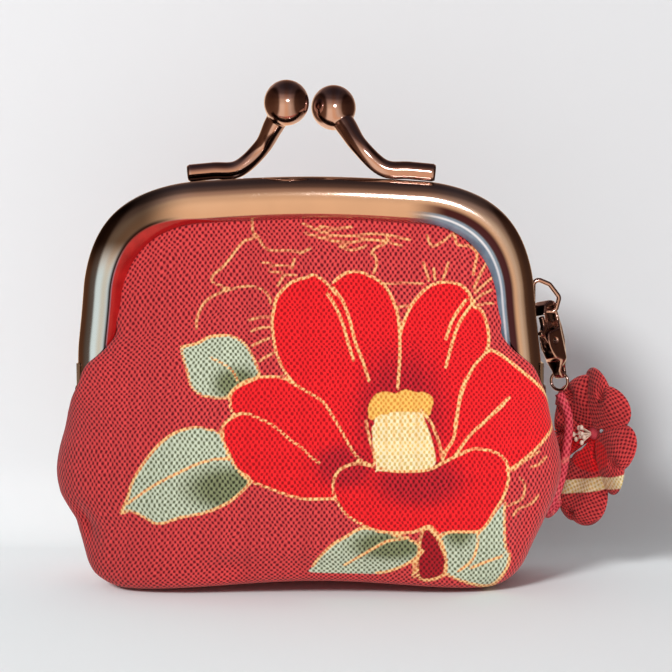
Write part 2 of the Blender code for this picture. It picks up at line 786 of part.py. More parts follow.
def build_side_loop():
    """The D shaped wire loop on the back half's right side."""
    corners = (
        (0.0, -LOOP_HEIGHT / 2),
        (LOOP_REACH * 0.86, -LOOP_HEIGHT / 2),
        (LOOP_REACH, -LOOP_HEIGHT * 0.08),
        (LOOP_REACH * 0.62, LOOP_HEIGHT * 0.30),
        (0.0, LOOP_HEIGHT / 2),
    )
    place = loop_place()
    points = [(place.x + x, place.y, place.z + z) for x, z in rounded_corners(corners, LOOP_CORNER_RADIUS, 4)]
    return tube("side_loop", points, LOOP_WIRE_RADIUS, DARK_METAL, closed=True, sides=1)


def loop_bottom():
    """The point of the loop's bottom wire that the lobster clasp hangs on."""
    place = loop_place()
    return Vector((place.x + LOOP_REACH * LOOP_HANG_SHARE, place.y, place.z - LOOP_HEIGHT / 2))


def lobster_matrix():
    """Places the lobster clasp's own XY plane, with its origin at the middle of the hook's hole."""
    wire_to_hole = LOBSTER_HOLE_HALF_HEIGHT - LOOP_WIRE_RADIUS - HANG_CLEARANCE
    lean = Matrix.Rotation(-LOBSTER_TILT, 4, "Y")
    turn = Matrix.Rotation(LOBSTER_TURN, 4, "Z")
    upright = Matrix.Rotation(math.pi / 2, 4, "X")
    drop = Matrix.Translation((0.0, -wire_to_hole, 0.0))
    return Matrix.Translation(loop_bottom()) @ lean @ turn @ upright @ drop


def lobster_eye_drop():
    """From the hook hole's middle down to the eye's middle."""
    return LOBSTER_LENGTH - LOBSTER_HOLE_HALF_HEIGHT - LOBSTER_HOOK_THICKNESS - LOBSTER_EYE_RADIUS


def lobster_outline():
    """The hook, from its tip over the top, down the back to the eye, and up to the shoulder and the hole."""
    wide = LOBSTER_HALF_WIDTH
    hole_x, hole_y = LOBSTER_HOLE_HALF_WIDTH, LOBSTER_HOLE_HALF_HEIGHT
    hook = LOBSTER_HOOK_THICKNESS
    eye = LOBSTER_EYE_RADIUS
    eye_y = -lobster_eye_drop()
    waist_y = eye_y + eye * 1.35
    belly_y = (waist_y - hole_y) * 0.42
    corners = [
        (-hole_x - hook * 0.80, hole_y * 0.42),
        (-hole_x * 0.95, hole_y + hook * 0.45),
        (0.0, hole_y + hook),
        (hole_x * 0.95, hole_y + hook * 0.50),
        (hole_x + hook * 0.95, hole_y * 0.15),
        (wide, belly_y * 0.55),
        (wide * 0.97, belly_y * 1.15),
        (wide * 0.66, (belly_y + waist_y) * 0.58),
        (eye * 0.72, waist_y),
    ]
    for step in range(1, 8):
        angle = math.radians(40 - 260 * step / 8)
        corners.append((eye * math.cos(angle), eye_y + eye * math.sin(angle)))
    corners += [
        (-eye * 0.72, waist_y),
        (-wide * 0.66, (belly_y + waist_y) * 0.58),
        (-wide * 0.97, belly_y * 1.20),
        (-wide * 0.98, belly_y * 0.86),
        (-wide * 0.80, -hole_y * 1.12),
        (-hole_x * 0.45, -hole_y * 1.02),
        (hole_x * 0.35, -hole_y * 0.96),
        (hole_x * 0.90, -hole_y * 0.45),
        (hole_x, hole_y * 0.20),
        (hole_x * 0.92, hole_y * 0.68),
        (hole_x * 0.62, hole_y * 0.95),
        (-hole_x * 0.62, hole_y * 0.95),
        (-hole_x * 0.92, hole_y * 0.68),
        (-hole_x * 0.98, hole_y * 0.42),
    ]
    return corners


LEVER_PIVOT = (-LOBSTER_HALF_WIDTH * 0.42, -LOBSTER_HOLE_HALF_HEIGHT * 1.95)


def build_lobster_body(matrix):
    """The cast body of the lobster clasp, slotted for its lever and drilled for the pin."""
    eye_y = -lobster_eye_drop()
    eye_hole = [
        (
            LOBSTER_EYE_HOLE_RADIUS * math.cos(math.tau * step / 12),
            eye_y + LOBSTER_EYE_HOLE_RADIUS * math.sin(math.tau * step / 12),
        )
        for step in range(12)
    ]
    plate = flat_curve(
        "lobster_plate", (lobster_outline(), eye_hole), LOBSTER_THICKNESS, LOBSTER_EDGE_ROUND, DARK_METAL
    )
    body = mesh_of_curve(plate, "clasp_body", DARK_METAL)
    for vertex in body.data.vertices:
        if vertex.co.y < eye_y + LOBSTER_EYE_RADIUS:
            vertex.co.z *= LOBSTER_EYE_THICKNESS / LOBSTER_THICKNESS
    slot_half = LEVER_THICKNESS / 2 + LEVER_CLEARANCE
    slot = hide_as_cutter(
        box(
            "clasp_slot",
            (-LOBSTER_HALF_WIDTH * 1.3, LEVER_PIVOT[1] - LEVER_WIDTH * 1.5, -slot_half),
            (LOBSTER_HALF_WIDTH * 0.20, -LOBSTER_HOLE_HALF_HEIGHT * 0.75, slot_half),
            None,
            CUTTERS,
        )
    )
    boolean(body, slot, "DIFFERENCE")
    pin_hole = hide_as_cutter(
        pin_cylinder("clasp_pin_hole", LEVER_PIN_RADIUS + RUNNING_CLEARANCE, LOBSTER_THICKNESS * 1.5, CUTTERS)
    )
    boolean(body, pin_hole, "DIFFERENCE")
    weld(body)
    for item in (body, slot, pin_hole):
        item.matrix_world = matrix
    return body


def pin_cylinder(name, radius, length, collection=None):
    """A cylinder through the lever's pivot, across the clasp."""
    bm = bmesh.new()
    bmesh.ops.create_cone(bm, cap_ends=True, segments=12, radius1=radius, radius2=radius, depth=length)
    bmesh.ops.translate(bm, verts=bm.verts, vec=(*LEVER_PIVOT, 0.0))
    return add_object(name, mesh_from(bm, name), None, collection)


def build_lever(matrix):
    """The sprung gate that closes the hook, with the nub that a nail pulls."""
    tip_x = -LOBSTER_HOLE_HALF_WIDTH - LOBSTER_HOOK_THICKNESS * 0.32
    tip_y = LOBSTER_HOLE_HALF_HEIGHT * 0.42 - LEVER_CLEARANCE
    half = LEVER_WIDTH / 2
    pivot_x, pivot_y = LEVER_PIVOT
    outline = [
        (tip_x - half * 0.8, tip_y),
        (tip_x + half * 0.8, tip_y),
        (tip_x + half, -LOBSTER_HOLE_HALF_HEIGHT * 0.9),
        (pivot_x + half * 1.6, pivot_y + half),
        (pivot_x + half * 1.7, pivot_y - half),
        (pivot_x + half * 0.6, pivot_y - half * 2.0),
        (pivot_x - half * 1.2, pivot_y - half * 1.4),
        (-LOBSTER_HALF_WIDTH * 1.02, -LOBSTER_HOLE_HALF_HEIGHT * 1.42),
        (-LOBSTER_HALF_WIDTH * 1.30, -LOBSTER_HOLE_HALF_HEIGHT * 1.12),
        (-LOBSTER_HALF_WIDTH * 1.26, -LOBSTER_HOLE_HALF_HEIGHT * 0.86),
        (-LOBSTER_HALF_WIDTH * 0.98, -LOBSTER_HOLE_HALF_HEIGHT * 0.80),
        (tip_x - half, -LOBSTER_HOLE_HALF_HEIGHT * 0.45),
    ]
    plate = flat_curve("lever_plate", (outline,), LEVER_THICKNESS, LEVER_THICKNESS * 0.15, DARK_METAL)
    lever = mesh_of_curve(plate, "clasp_lever", DARK_METAL)
    hole = hide_as_cutter(
        pin_cylinder("lever_pin_hole", LEVER_PIN_RADIUS + RUNNING_CLEARANCE, LEVER_THICKNESS * 2, CUTTERS)
    )
    boolean(lever, hole, "DIFFERENCE")
    weld(lever)
    pivot = Matrix.Translation((*LEVER_PIVOT, 0.0))
    for item in (lever, hole):
        item.data.transform(pivot.inverted())
        item.matrix_world = matrix @ pivot
    return lever


def build_lever_pin(matrix):
    pin = pin_cylinder("clasp_pin", LEVER_PIN_RADIUS, LOBSTER_THICKNESS - LOBSTER_EDGE_ROUND)
    pin.data.materials.append(RIVET_METAL)
    pin.matrix_world = matrix
    return pin


def build_lever_spring(matrix):
    """The bent wire spring in the slot, between the lever and the slot's end."""
    pivot_x, pivot_y = LEVER_PIVOT
    wall_x = LOBSTER_HALF_WIDTH * 0.20 - LEVER_CLEARANCE - SPRING_WIRE_RADIUS
    lever_x = pivot_x + LEVER_WIDTH * 0.85 + LEVER_CLEARANCE + SPRING_WIRE_RADIUS
    route = (
        (wall_x, pivot_y - LEVER_WIDTH * 1.2, 0.0),
        (wall_x, pivot_y + LEVER_WIDTH * 0.4, 0.0),
        ((wall_x + lever_x) / 2, pivot_y + LEVER_WIDTH * 1.0, 0.0),
        (lever_x, pivot_y + LEVER_WIDTH * 0.4, 0.0),
        (lever_x, pivot_y - LEVER_WIDTH * 0.5, 0.0),
    )
    spring = tube("clasp_spring", smooth_through(route, 3), SPRING_WIRE_RADIUS, SPRING_STEEL, sides=1)
    spring.matrix_world = matrix
    return spring


def eye_bottom(matrix):
    """Where the ring's wire rests in the clasp's eye."""
    eye = matrix @ Vector((0.0, -lobster_eye_drop(), 0.0))
    return eye + Vector((0.0, 0.0, RING_WIRE_RADIUS + RING_CLEARANCE - LOBSTER_EYE_HOLE_RADIUS))


def ring_place(matrix):
    """Middle of the jump ring, which hangs from the bottom of the clasp's eye."""
    return eye_bottom(matrix) + Vector((0.0, 0.0, -RING_RADIUS))


def ring_bottom(matrix):
    return ring_place(matrix) + Vector((0.0, 0.0, -RING_RADIUS))


def build_jump_ring(matrix):
    """A wire ring that passes through the eye, square to the clasp."""
    middle = ring_place(matrix)
    across = Matrix.Rotation(LOBSTER_TURN, 3, "Z") @ Vector((0.0, RING_RADIUS, 0.0))
    up = Vector((0.0, 0.0, RING_RADIUS))
    points = []
    for step in range(RING_STEPS):
        angle = math.tau * step / RING_STEPS
        points.append(middle + across * math.cos(angle) + up * math.sin(angle))
    return tube("jump_ring", points, RING_WIRE_RADIUS, DARK_METAL, closed=True, sides=1)


def build_charm_cord():
    return tube(
        "charm_cord", smooth_through(CHARM_CORD_ROUTE, CHARM_CORD_STEPS), CHARM_CORD_RADIUS, CORD_RED, sides=2
    )


def flower_matrix():
    """Places the flower's own plane: X to the right along its face, Y up, Z out of its face."""
    right = Vector((math.cos(FLOWER_TURN), -math.sin(FLOWER_TURN), 0.0))
    face = Vector((-math.sin(FLOWER_TURN), -math.cos(FLOWER_TURN), 0.0))
    up = Vector((0.0, 0.0, 1.0))
    rotation = Matrix((right, up, face)).transposed().to_4x4()
    return Matrix.Translation(FLOWER_CENTRE) @ rotation


def build_petal(name, angle, length, matrix):
    """A stuffed petal: a ball drawn out, pinched at its root and notched and creased towards its tip."""
    bm = bmesh.new()
    bmesh.ops.create_uvsphere(bm, u_segments=14, v_segments=9, radius=1.0)
    spread = math.tan(math.pi / len(PETAL_LENGTHS))
    for vertex in bm.verts:
        along, across, out = vertex.co.z, vertex.co.x, vertex.co.y
        girth = math.sqrt(max(1e-9, 1 - along**2))
        across, out = across / girth, out / girth
        t = (along + 1) / 2
        reach = PETAL_ROOT + length * t
        fullness = math.sin(math.pi * min(1.0, t) ** 1.25) ** 0.6 if 0 < t < 1 else 0.0
        half_width = min(PETAL_HALF_WIDTH * fullness, reach * spread - GAP)
        half_width = max(half_width, 0.0)
        half_out = PETAL_HALF_THICKNESS * fullness
        crease = PETAL_CREASE * math.exp(-((across / 0.3) ** 2)) * math.sin(math.pi * t)
        notch = PETAL_NOTCH * t**2 * (1 - across**2)
        vertex.co = (
            reach - notch,
            half_width * across,
            half_out * out - (crease if out > 0 else 0.0) + PETAL_CUP * t**2,
        )
    bmesh.ops.remove_doubles(bm, verts=bm.verts, dist=0.000001)
    bmesh.ops.recalc_face_normals(bm, faces=bm.faces)
    petal = add_object(name, mesh_from(bm, name, math.radians(60)), PETAL_COTTON)
    petal.matrix_world = matrix @ Matrix.Rotation(angle, 4, "Z")
    return petal


def build_stamens(matrix):
    """The small button at the flower's middle with its beaded stamens."""
    bm = bmesh.new()
    bmesh.ops.create_uvsphere(bm, u_segments=14, v_segments=8, radius=FLOWER_BUTTON_RADIUS)
    bmesh.ops.scale(bm, verts=bm.verts, vec=(1.0, 1.0, 0.8))
    stamens = add_object("stamens", mesh_from(bm, "stamens"), STAMEN_PALE)
    stamens.matrix_world = matrix
    stalk = STAMEN_HEAD_RADIUS * 0.5
    neck = STAMEN_LENGTH - STAMEN_HEAD_RADIUS * 1.8
    profile = (
        (0.0, STAMEN_LENGTH),
        (STAMEN_HEAD_RADIUS * 0.75, STAMEN_LENGTH - STAMEN_HEAD_RADIUS * 0.3),
        (STAMEN_HEAD_RADIUS, STAMEN_LENGTH - STAMEN_HEAD_RADIUS),
        (stalk, neck),
        (stalk, FLOWER_BUTTON_RADIUS * 0.3),
        (0.0, FLOWER_BUTTON_RADIUS * 0.3),
    )
    for index in range(STAMEN_COUNT):
        item = hide_as_cutter(turned(f"stamen_{index + 1}", profile, 8, None, CUTTERS))
        around = Matrix.Rotation(math.tau * index / STAMEN_COUNT + 0.4, 4, "Z")
        lean = Matrix.Rotation(math.radians(24), 4, "X")
        item.matrix_world = matrix @ around @ lean
        boolean(stamens, item, "UNION")
    weld(stamens)
    return stamens


def hang_on_axis(name, place, items):
    """Parent the pieces of one moving body to an empty on its joint's axis."""
    axis = bpy.data.objects.new(name, None)
    PARTS.objects.link(axis)
    axis.empty_display_size = 0.005
    axis.location = place
    bpy.context.view_layer.update()
    for item in items:
        item.parent = axis
        item.matrix_parent_inverse = axis.matrix_world.inverted()
    return axis


def build_half(label, side, end, ball_height):
    """Everything that swings with one half of the frame."""
    frame = build_frame(f"{label}_frame", side)
    clasp = build_ball_clasp(f"{label}_ball_clasp", side, end, ball_height)
    cloth = build_flap(f"outer_{label}", side, CLOTH_THICKNESS, 0.0, PRINTED_COTTON)
    lining = build_flap(f"lining_{label}", side, LINING_THICKNESS, LINING_SHIFT, LINING_COTTON)
    paper_cord = build_paper_cord(f"{label}_paper_cord", side)
    return [frame, clasp, cloth, lining, paper_cord]


def build_purse():
    hinge = (0.0, 0.0, HINGE_HEIGHT)
    front = build_half("front", FRONT, 1, FRONT_BALL_HEIGHT)
    back = build_half("back", BACK, -1, BACK_BALL_HEIGHT)
    back.append(build_side_loop())
    hang_on_axis("front_hinge_axis", hinge, front)
    back_axis = hang_on_axis("back_hinge_axis", hinge, back)

    build_rivet("left_hinge_rivet", -1)
    build_rivet("right_hinge_rivet", 1)
    build_vessel("outer_bag", CLOTH_THICKNESS, 0.0, 0.0, PRINTED_COTTON)
    build_vessel("lining_bag", LINING_THICKNESS, LINING_SHIFT, LINING_RIM_DROP, LINING_COTTON)

    lobster = lobster_matrix()
    clasp = [build_lobster_body(lobster), build_lever(lobster), build_lever_pin(lobster), build_lever_spring(lobster)]
    clasp_axis = hang_on_axis("clasp_swing_axis", loop_bottom(), clasp)
    ring_axis = hang_on_axis("ring_swing_axis", eye_bottom(lobster), [build_jump_ring(lobster)])

    flower = flower_matrix()
    charm = [build_charm_cord(), build_stamens(flower)]
    for index, length in enumerate(PETAL_LENGTHS):
        angle = FIRST_PETAL_ANGLE - math.tau * index / len(PETAL_LENGTHS)
        charm.append(build_petal(f"petal_{index + 1}", angle, length, flower))
    charm_axis = hang_on_axis("charm_swing_axis", ring_bottom(lobster), charm)

    for axis, carrier in ((clasp_axis, back_axis), (ring_axis, clasp_axis), (charm_axis, ring_axis)):
        axis.parent = carrier
        axis.matrix_parent_inverse = carrier.matrix_world.inverted()


build_purse()
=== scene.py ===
# %% [markdown]
# # A kiss-lock coin purse, from its CAD frame to a finished picture
#
# The imported CAD model gives every hard part its size and place: two channel halves on rivets, the ball
# clasps, the side loop, the lobster clasp, a jump ring and the paper cords. This script adds the looks.
# The printed cotton and its lining become thin woven shells, the rolled frame and the ball clasps become
# smooth metal, and the charm gets its stuffed petals. Nothing here moves a CAD part: most new pieces ride
# on a CAD body, and the cloth pieces stay where they are made.

# %% Load the CAD frame
import json
import math

import bmesh
import bpy
import numpy as np
from mathutils import Matrix, Vector

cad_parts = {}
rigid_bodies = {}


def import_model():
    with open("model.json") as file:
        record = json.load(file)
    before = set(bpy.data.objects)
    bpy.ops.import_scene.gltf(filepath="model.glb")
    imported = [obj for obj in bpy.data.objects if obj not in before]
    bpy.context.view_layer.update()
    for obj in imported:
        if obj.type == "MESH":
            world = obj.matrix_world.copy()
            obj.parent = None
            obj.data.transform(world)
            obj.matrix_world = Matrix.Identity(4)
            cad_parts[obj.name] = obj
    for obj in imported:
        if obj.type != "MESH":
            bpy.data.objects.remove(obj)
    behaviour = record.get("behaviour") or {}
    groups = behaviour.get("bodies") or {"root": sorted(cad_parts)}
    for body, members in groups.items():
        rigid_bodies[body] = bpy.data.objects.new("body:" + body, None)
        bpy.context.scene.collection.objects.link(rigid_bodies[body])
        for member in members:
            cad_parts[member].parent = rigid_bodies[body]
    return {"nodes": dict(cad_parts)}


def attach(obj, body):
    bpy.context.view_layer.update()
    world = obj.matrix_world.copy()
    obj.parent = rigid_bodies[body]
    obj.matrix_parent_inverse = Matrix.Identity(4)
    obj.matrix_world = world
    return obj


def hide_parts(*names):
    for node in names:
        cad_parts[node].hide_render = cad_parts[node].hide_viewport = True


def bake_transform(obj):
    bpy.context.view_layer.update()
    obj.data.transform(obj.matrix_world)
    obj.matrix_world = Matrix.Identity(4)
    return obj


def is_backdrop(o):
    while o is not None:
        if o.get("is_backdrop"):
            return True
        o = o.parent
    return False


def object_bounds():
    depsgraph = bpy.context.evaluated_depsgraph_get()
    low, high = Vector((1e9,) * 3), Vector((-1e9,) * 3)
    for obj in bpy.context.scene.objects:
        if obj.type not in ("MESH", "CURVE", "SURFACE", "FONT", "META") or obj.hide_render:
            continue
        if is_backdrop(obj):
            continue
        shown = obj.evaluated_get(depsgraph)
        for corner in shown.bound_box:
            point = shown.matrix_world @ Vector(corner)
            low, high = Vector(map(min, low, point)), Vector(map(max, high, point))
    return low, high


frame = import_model()
cad_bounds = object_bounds()
print("nodes:", len(frame["nodes"]), "box:", [[round(value, 4) for value in corner] for corner in cad_bounds])

# %% [markdown]
# ## The frame's outline
#
# All lengths below are millimetres, and a piece is scaled to metres when its mesh is made. The outline of
# the metal frame is three tangent curves: a wide arch on top, a corner arc, and a side that leans in. A
# hand-drawn curve could look the same, but arcs keep exact distances, so that metal and cloth can both be
# set in from one outline. `frame_point` walks along it from -1 at the left end to 1 at the right end.

# %% Three tangent curves
MM = 0.001
FRONT, BACK = -1, 1
HALF_WIDTH = 37.6
TOP_HEIGHT = 66.1
END_HEIGHT = 33.0
LEAN = math.radians(7)
CORNER_RADIUS = 20.0
ARCH_RADIUS = 190.0
HINGE_HEIGHT = 31.2

corner_base = (HALF_WIDTH * math.cos(LEAN) + END_HEIGHT * math.sin(LEAN) - CORNER_RADIUS) / math.cos(LEAN)
arch_centre_z = TOP_HEIGHT - ARCH_RADIUS
slope = math.tan(LEAN)
quad_a = 1 + slope**2
quad_b = -2 * (corner_base * slope + arch_centre_z)
quad_c = corner_base**2 + arch_centre_z**2 - (ARCH_RADIUS - CORNER_RADIUS) ** 2
corner_z = (-quad_b + math.sqrt(quad_b**2 - 4 * quad_a * quad_c)) / (2 * quad_a)
corner_x = corner_base - slope * corner_z
arch_angle = math.atan2(corner_z - arch_centre_z, corner_x)
arch_length = ARCH_RADIUS * (math.pi / 2 - arch_angle)
corner_length = CORNER_RADIUS * (arch_angle - LEAN)
corner_end_z = corner_z + CORNER_RADIUS * math.sin(LEAN)
side_length = (corner_end_z - END_HEIGHT) / math.cos(LEAN)
HALF_OUTLINE = arch_length + corner_length + side_length


def frame_point(fraction, inset=0.0):
    """A point of the outline, as x and z, set in from it by an inset."""
    along = abs(fraction) * HALF_OUTLINE
    side = -1.0 if fraction < 0 else 1.0
    if along <= arch_length:
        angle = math.pi / 2 - along / ARCH_RADIUS
        x = (ARCH_RADIUS - inset) * math.cos(angle)
        z = arch_centre_z + (ARCH_RADIUS - inset) * math.sin(angle)
    elif along <= arch_length + corner_length:
        angle = arch_angle - (along - arch_length) / CORNER_RADIUS
        x = corner_x + (CORNER_RADIUS - inset) * math.cos(angle)
        z = corner_z + (CORNER_RADIUS - inset) * math.sin(angle)
    else:
        down = along - arch_length - corner_length
        x = corner_x + (CORNER_RADIUS - inset) * math.cos(LEAN) + down * math.sin(LEAN)
        z = corner_z + (CORNER_RADIUS - inset) * math.sin(LEAN) - down * math.cos(LEAN)
    return side * x, z


print("half outline", round(HALF_OUTLINE, 2), "mm, corner centre", round(corner_x, 2), round(corner_z, 2))

# %% [markdown]
# The photographed frame is a little wider and squarer at its corners than those curves. One soft push
# moves metal and cloth out together, so that they still meet: most at the corners, less along the sides,
# and nothing at the hinges, where the ears have to reach the rivets.

# %% Square the corners
SIDE_GROWTH, RIGHT_GROWTH = 0.6, 0.15
SIDE_FROM_X, SIDE_FROM_Z = (16.0, 34.0), (31.5, 40.0)
CORNER_GROWTH, CORNER_REACH = 1.15, 10.0
CORNER_X, CORNER_Z = 31.0, 60.0


def steps_between(values, low, high):
    """0 below low, 1 above high, and a soft step between."""
    t = np.clip((np.asarray(values, float) - low) / (high - low), 0, 1)
    return t * t * (3 - 2 * t)


def squarer(points):
    """Points moved outwards near the frame's corners and sides."""
    points = np.array(points, float)
    x, z = points[..., 0], points[..., 2]
    from_corner = np.hypot(np.abs(x) - CORNER_X, z - CORNER_Z) / CORNER_REACH
    corner = CORNER_GROWTH * math.sqrt(0.5) * np.exp(-(from_corner**2))
    growth = np.where(x < 0, SIDE_GROWTH, RIGHT_GROWTH)
    side = growth * steps_between(np.abs(x), *SIDE_FROM_X) * steps_between(z, *SIDE_FROM_Z)
    points[..., 0] = x + np.sign(x) * (side + corner)
    points[..., 2] = z + corner
    return points


print("corners move out by up to", CORNER_GROWTH, "mm")

# %% [markdown]
# ## Ways to make a mesh
#
# Blender can build a shape by hand edits, by modifiers or from plain lists of points. Lists suit this
# purse, because every row of points can then carry its own numbers for the weave and the print. A grid
# of points makes a cloth panel, and closed into a ring, it makes a frame half or a bar.


# %% Points and faces
def put_in_scene(name, data):
    """A new object for a mesh, a curve, a lamp or a camera."""
    item = bpy.data.objects.new(name, data)
    bpy.context.scene.collection.objects.link(item)
    return item


def new_mesh(name, points, faces, material):
    """A smooth shaded mesh object from points in millimetres."""
    mesh = bpy.data.meshes.new(name)
    mesh.from_pydata((np.asarray(points, float) * MM).tolist(), [], [list(map(int, face)) for face in faces])
    mesh.validate()
    mesh.shade_smooth()
    mesh.materials.append(material)
    return put_in_scene(name, mesh)


def grid_faces(rows, columns, wrap=False):
    """Quads of a grid whose points are listed row by row."""
    span = columns if wrap else columns - 1
    row, column = np.meshgrid(np.arange(rows - 1), np.arange(span), indexing="ij")
    start = (row * columns + column).ravel()
    next_column = (row * columns + (column + 1) % columns).ravel()
    return np.stack([start, next_column, next_column + columns, start + columns], 1)


print("a grid of 3 by 3 points has", len(grid_faces(3, 3)), "faces")

# %% [markdown]
# Bars and wires are round tubes along a smooth line. A curve object with a bevel would do for an even
# wire, but the clasp bars swell into a ball, so each ring of the tube gets its own radius. A closed wire
# is joined with the twist that its first and last rings need.

# %% Lines and tubes
FIRST_ACROSS = (0.31, 0.93, 0.17)


def through(points, steps, closed=False):
    """A Catmull-Rom line through rows of numbers, with that many steps between neighbours."""
    rows = np.asarray(points, float)
    if closed:
        rows = np.vstack([rows[-1:], rows, rows[:2]])
    else:
        rows = np.vstack([2 * rows[0] - rows[1], rows, 2 * rows[-1] - rows[-2]])
    t = np.linspace(0, 1, steps, endpoint=False)[:, None]
    result = []
    for a, b, c, d in zip(rows, rows[1:], rows[2:], rows[3:]):
        bend = (2 * a - 5 * b + 4 * c - d) * t**2 + (3 * b - a - 3 * c + d) * t**3
        result.append(0.5 * (2 * b + (c - a) * t + bend))
    if not closed:
        result.append(rows[-2:-1])
    return np.vstack(result)


def length_along(line):
    """The distance from a line's start to each of its points."""
    return np.concatenate([[0], np.cumsum(np.linalg.norm(np.diff(line, axis=0), axis=1))])


def tube_mesh(name, path, radii, material, sides, closed=False):
    """A round bar along a path of points in millimetres."""
    path = np.asarray(path, float)
    count = len(path)
    radii = np.full(count, radii) if np.isscalar(radii) else np.asarray(radii, float)
    if closed:
        tangents = np.roll(path, -1, 0) - np.roll(path, 1, 0)
    else:
        tangents = np.gradient(path, axis=0)
    tangents /= np.linalg.norm(tangents, axis=1)[:, None]
    first = np.cross(tangents[0], FIRST_ACROSS)
    across = [first / np.linalg.norm(first)]
    for tangent in tangents[1:]:
        turned = across[-1] - tangent * np.dot(across[-1], tangent)
        across.append(turned / np.linalg.norm(turned))
    across = np.array(across)
    other = np.cross(tangents, across)
    angles = np.linspace(0, math.tau, sides, endpoint=False)[:, None]
    round_about = across[:, None] * np.cos(angles) + other[:, None] * np.sin(angles)
    points = (path[:, None] + radii[:, None, None] * round_about).reshape(-1, 3)
    faces = [list(face) for face in grid_faces(count, sides, wrap=True)]
    if closed:
        twist = across[-1] - tangents[0] * np.dot(across[-1], tangents[0])
        shift = math.atan2(np.dot(twist, other[0]), np.dot(twist, across[0]))
        step = int(round(shift / math.tau * sides)) % sides
        last = (count - 1) * sides
        for side in range(sides):
            near, far = (side + step) % sides, (side + 1 + step) % sides
            faces.append([last + side, last + (side + 1) % sides, far, near])
    else:
        faces.append(list(range(sides))[::-1])
        faces.append(list(range((count - 1) * sides, count * sides)))
    return new_mesh(name, points, faces, material)


print("a line through 3 points in 4 steps has", len(through([(0, 0), (1, 0), (2, 1)], 4)), "points")

# %% [markdown]
# A material can read numbers that are stored on the mesh. The weave needs the place on the flat cloth,
# and the print needs the distance to its outlines. Stored on the points, both bend with the cloth, which
# a picture projected from outside wouldn't do.


# %% Numbers for the materials
def give(item, name, values):
    """Store one number a point on a mesh, for its material to read."""
    attribute = item.data.attributes.new(name, "FLOAT", "POINT")
    attribute.data.foreach_set("value", np.asarray(values, np.float32))


def give_flat(item, across, along):
    """Store the flat cloth's own coordinates, in millimetres, for the weave."""
    attribute = item.data.attributes.new("flat", "FLOAT_VECTOR", "POINT")
    rows = np.stack([across, along, np.zeros(len(across))], 1).astype(np.float32)
    attribute.data.foreach_set("vector", rows.ravel())


print("numbers are stored point by point, in single precision")

# %% [markdown]
# ## Materials
#
# Every finish is a tree of nodes, and the class below shortens the calls that build one. Pictures of
# cloth and metal would do too, but they blur close up and have to be stored. A tree stays sharp at any
# distance, and it can be read here line by line.


# %% Node helpers
def linear(red, green, blue):
    """A display colour from 0 to 255, as the linear colour that a shader takes."""
    shares = (red / 255, green / 255, blue / 255)
    return tuple(((c + 0.055) / 1.055) ** 2.4 if c > 0.04 else c / 12.92 for c in shares) + (1.0,)


class Tree:
    """Short calls for the nodes of one material or of the world."""

    def __init__(self, owner):
        owner.use_nodes = True
        self.owner = owner
        self.tree = owner.node_tree
        self.shader = self.tree.nodes.get("Principled BSDF")

    def put(self, node, socket, value):
        if isinstance(value, bpy.types.NodeSocket):
            self.tree.links.new(value, node.inputs[socket])
        elif value is not None:
            node.inputs[socket].default_value = value

    def node(self, kind, **sockets):
        item = self.tree.nodes.new(kind)
        for socket, value in sockets.items():
            self.put(item, socket.replace("_", " "), value)
        return item

    def set(self, **sockets):
        for socket, value in sockets.items():
            self.put(self.shader, socket.replace("_", " "), value)

    def fill(self, item, *values):
        for index, value in enumerate(values):
            self.put(item, index, value)
        return item.outputs

    def math(self, operation, *values):
        item = self.tree.nodes.new("ShaderNodeMath")
        item.operation = operation
        return self.fill(item, *values)[0]

    def vector(self, operation, *values):
        item = self.tree.nodes.new("ShaderNodeVectorMath")
        item.operation = operation
        return self.fill(item, *values)

    def mix_shaders(self, share, first, second):
        return self.fill(self.tree.nodes.new("ShaderNodeMixShader"), share, first, second)[0]

    def ramp(self, value, low, high, from_value=0.0, to_value=1.0):
        item = self.tree.nodes.new("ShaderNodeMapRange")
        item.interpolation_type = "SMOOTHSTEP"
        return self.fill(item, value, low, high, from_value, to_value)[0]

    def mix(self, share, first, second, blend="MIX"):
        item = self.tree.nodes.new("ShaderNodeMix")
        item.data_type = "RGBA"
        item.blend_type = blend
        self.put(item, 0, share)
        self.put(item, 6, first)
        self.put(item, 7, second)
        return item.outputs[2]

    def attribute(self, name, output="Fac"):
        item = self.tree.nodes.new("ShaderNodeAttribute")
        item.attribute_name = name
        return item.outputs[output]

    def place(self, kind="Object"):
        return self.node("ShaderNodeTexCoord").outputs[kind]

    def noise(self, vector, scale, detail=2.0, output="Fac"):
        item = self.node("ShaderNodeTexNoise", Vector=vector, Scale=scale, Detail=detail)
        return item.outputs[output]

    def bump(self, height, strength, distance):
        item = self.node("ShaderNodeBump", Height=height, Strength=strength, Distance=distance)
        self.tree.links.new(item.outputs[0], self.shader.inputs["Normal"])


def material_tree(name):
    """The node tree of a new material."""
    return Tree(bpy.data.materials.new(name))


print("mid grey as a linear colour:", round(linear(128, 128, 128)[0], 3))

# %% [markdown]
# ### The weave
#
# The purse is sewn from cotton with coarse, visible threads. Modelled one by one they would need millions
# of faces, so the weave is worked out from the flat cloth's coordinates, which it divides into cells. In
# one cell the warp thread lies on top, as an arch with rounded ends. In the next, the weft dips under its
# neighbours and leaves a hollow, and there the cloth is painted dark, as painted shade in the hollow. A
# slow noise lets the threads wander.

# %% Plain weave
WARP_SPACING, WEFT_SPACING = 0.86, 1.16
WANDER, WANDER_SCALE = 1.0, 0.35
WARP_LOW, WARP_RISE, WARP_ARCH, WARP_ROUNDING = 0.48, 0.52, 2.75, -1.6
WEFT_HEIGHT, PIT_DEPTH, PIT_EDGE = 0.62, 0.62, -3.2
WEFT_SEED = 500.5


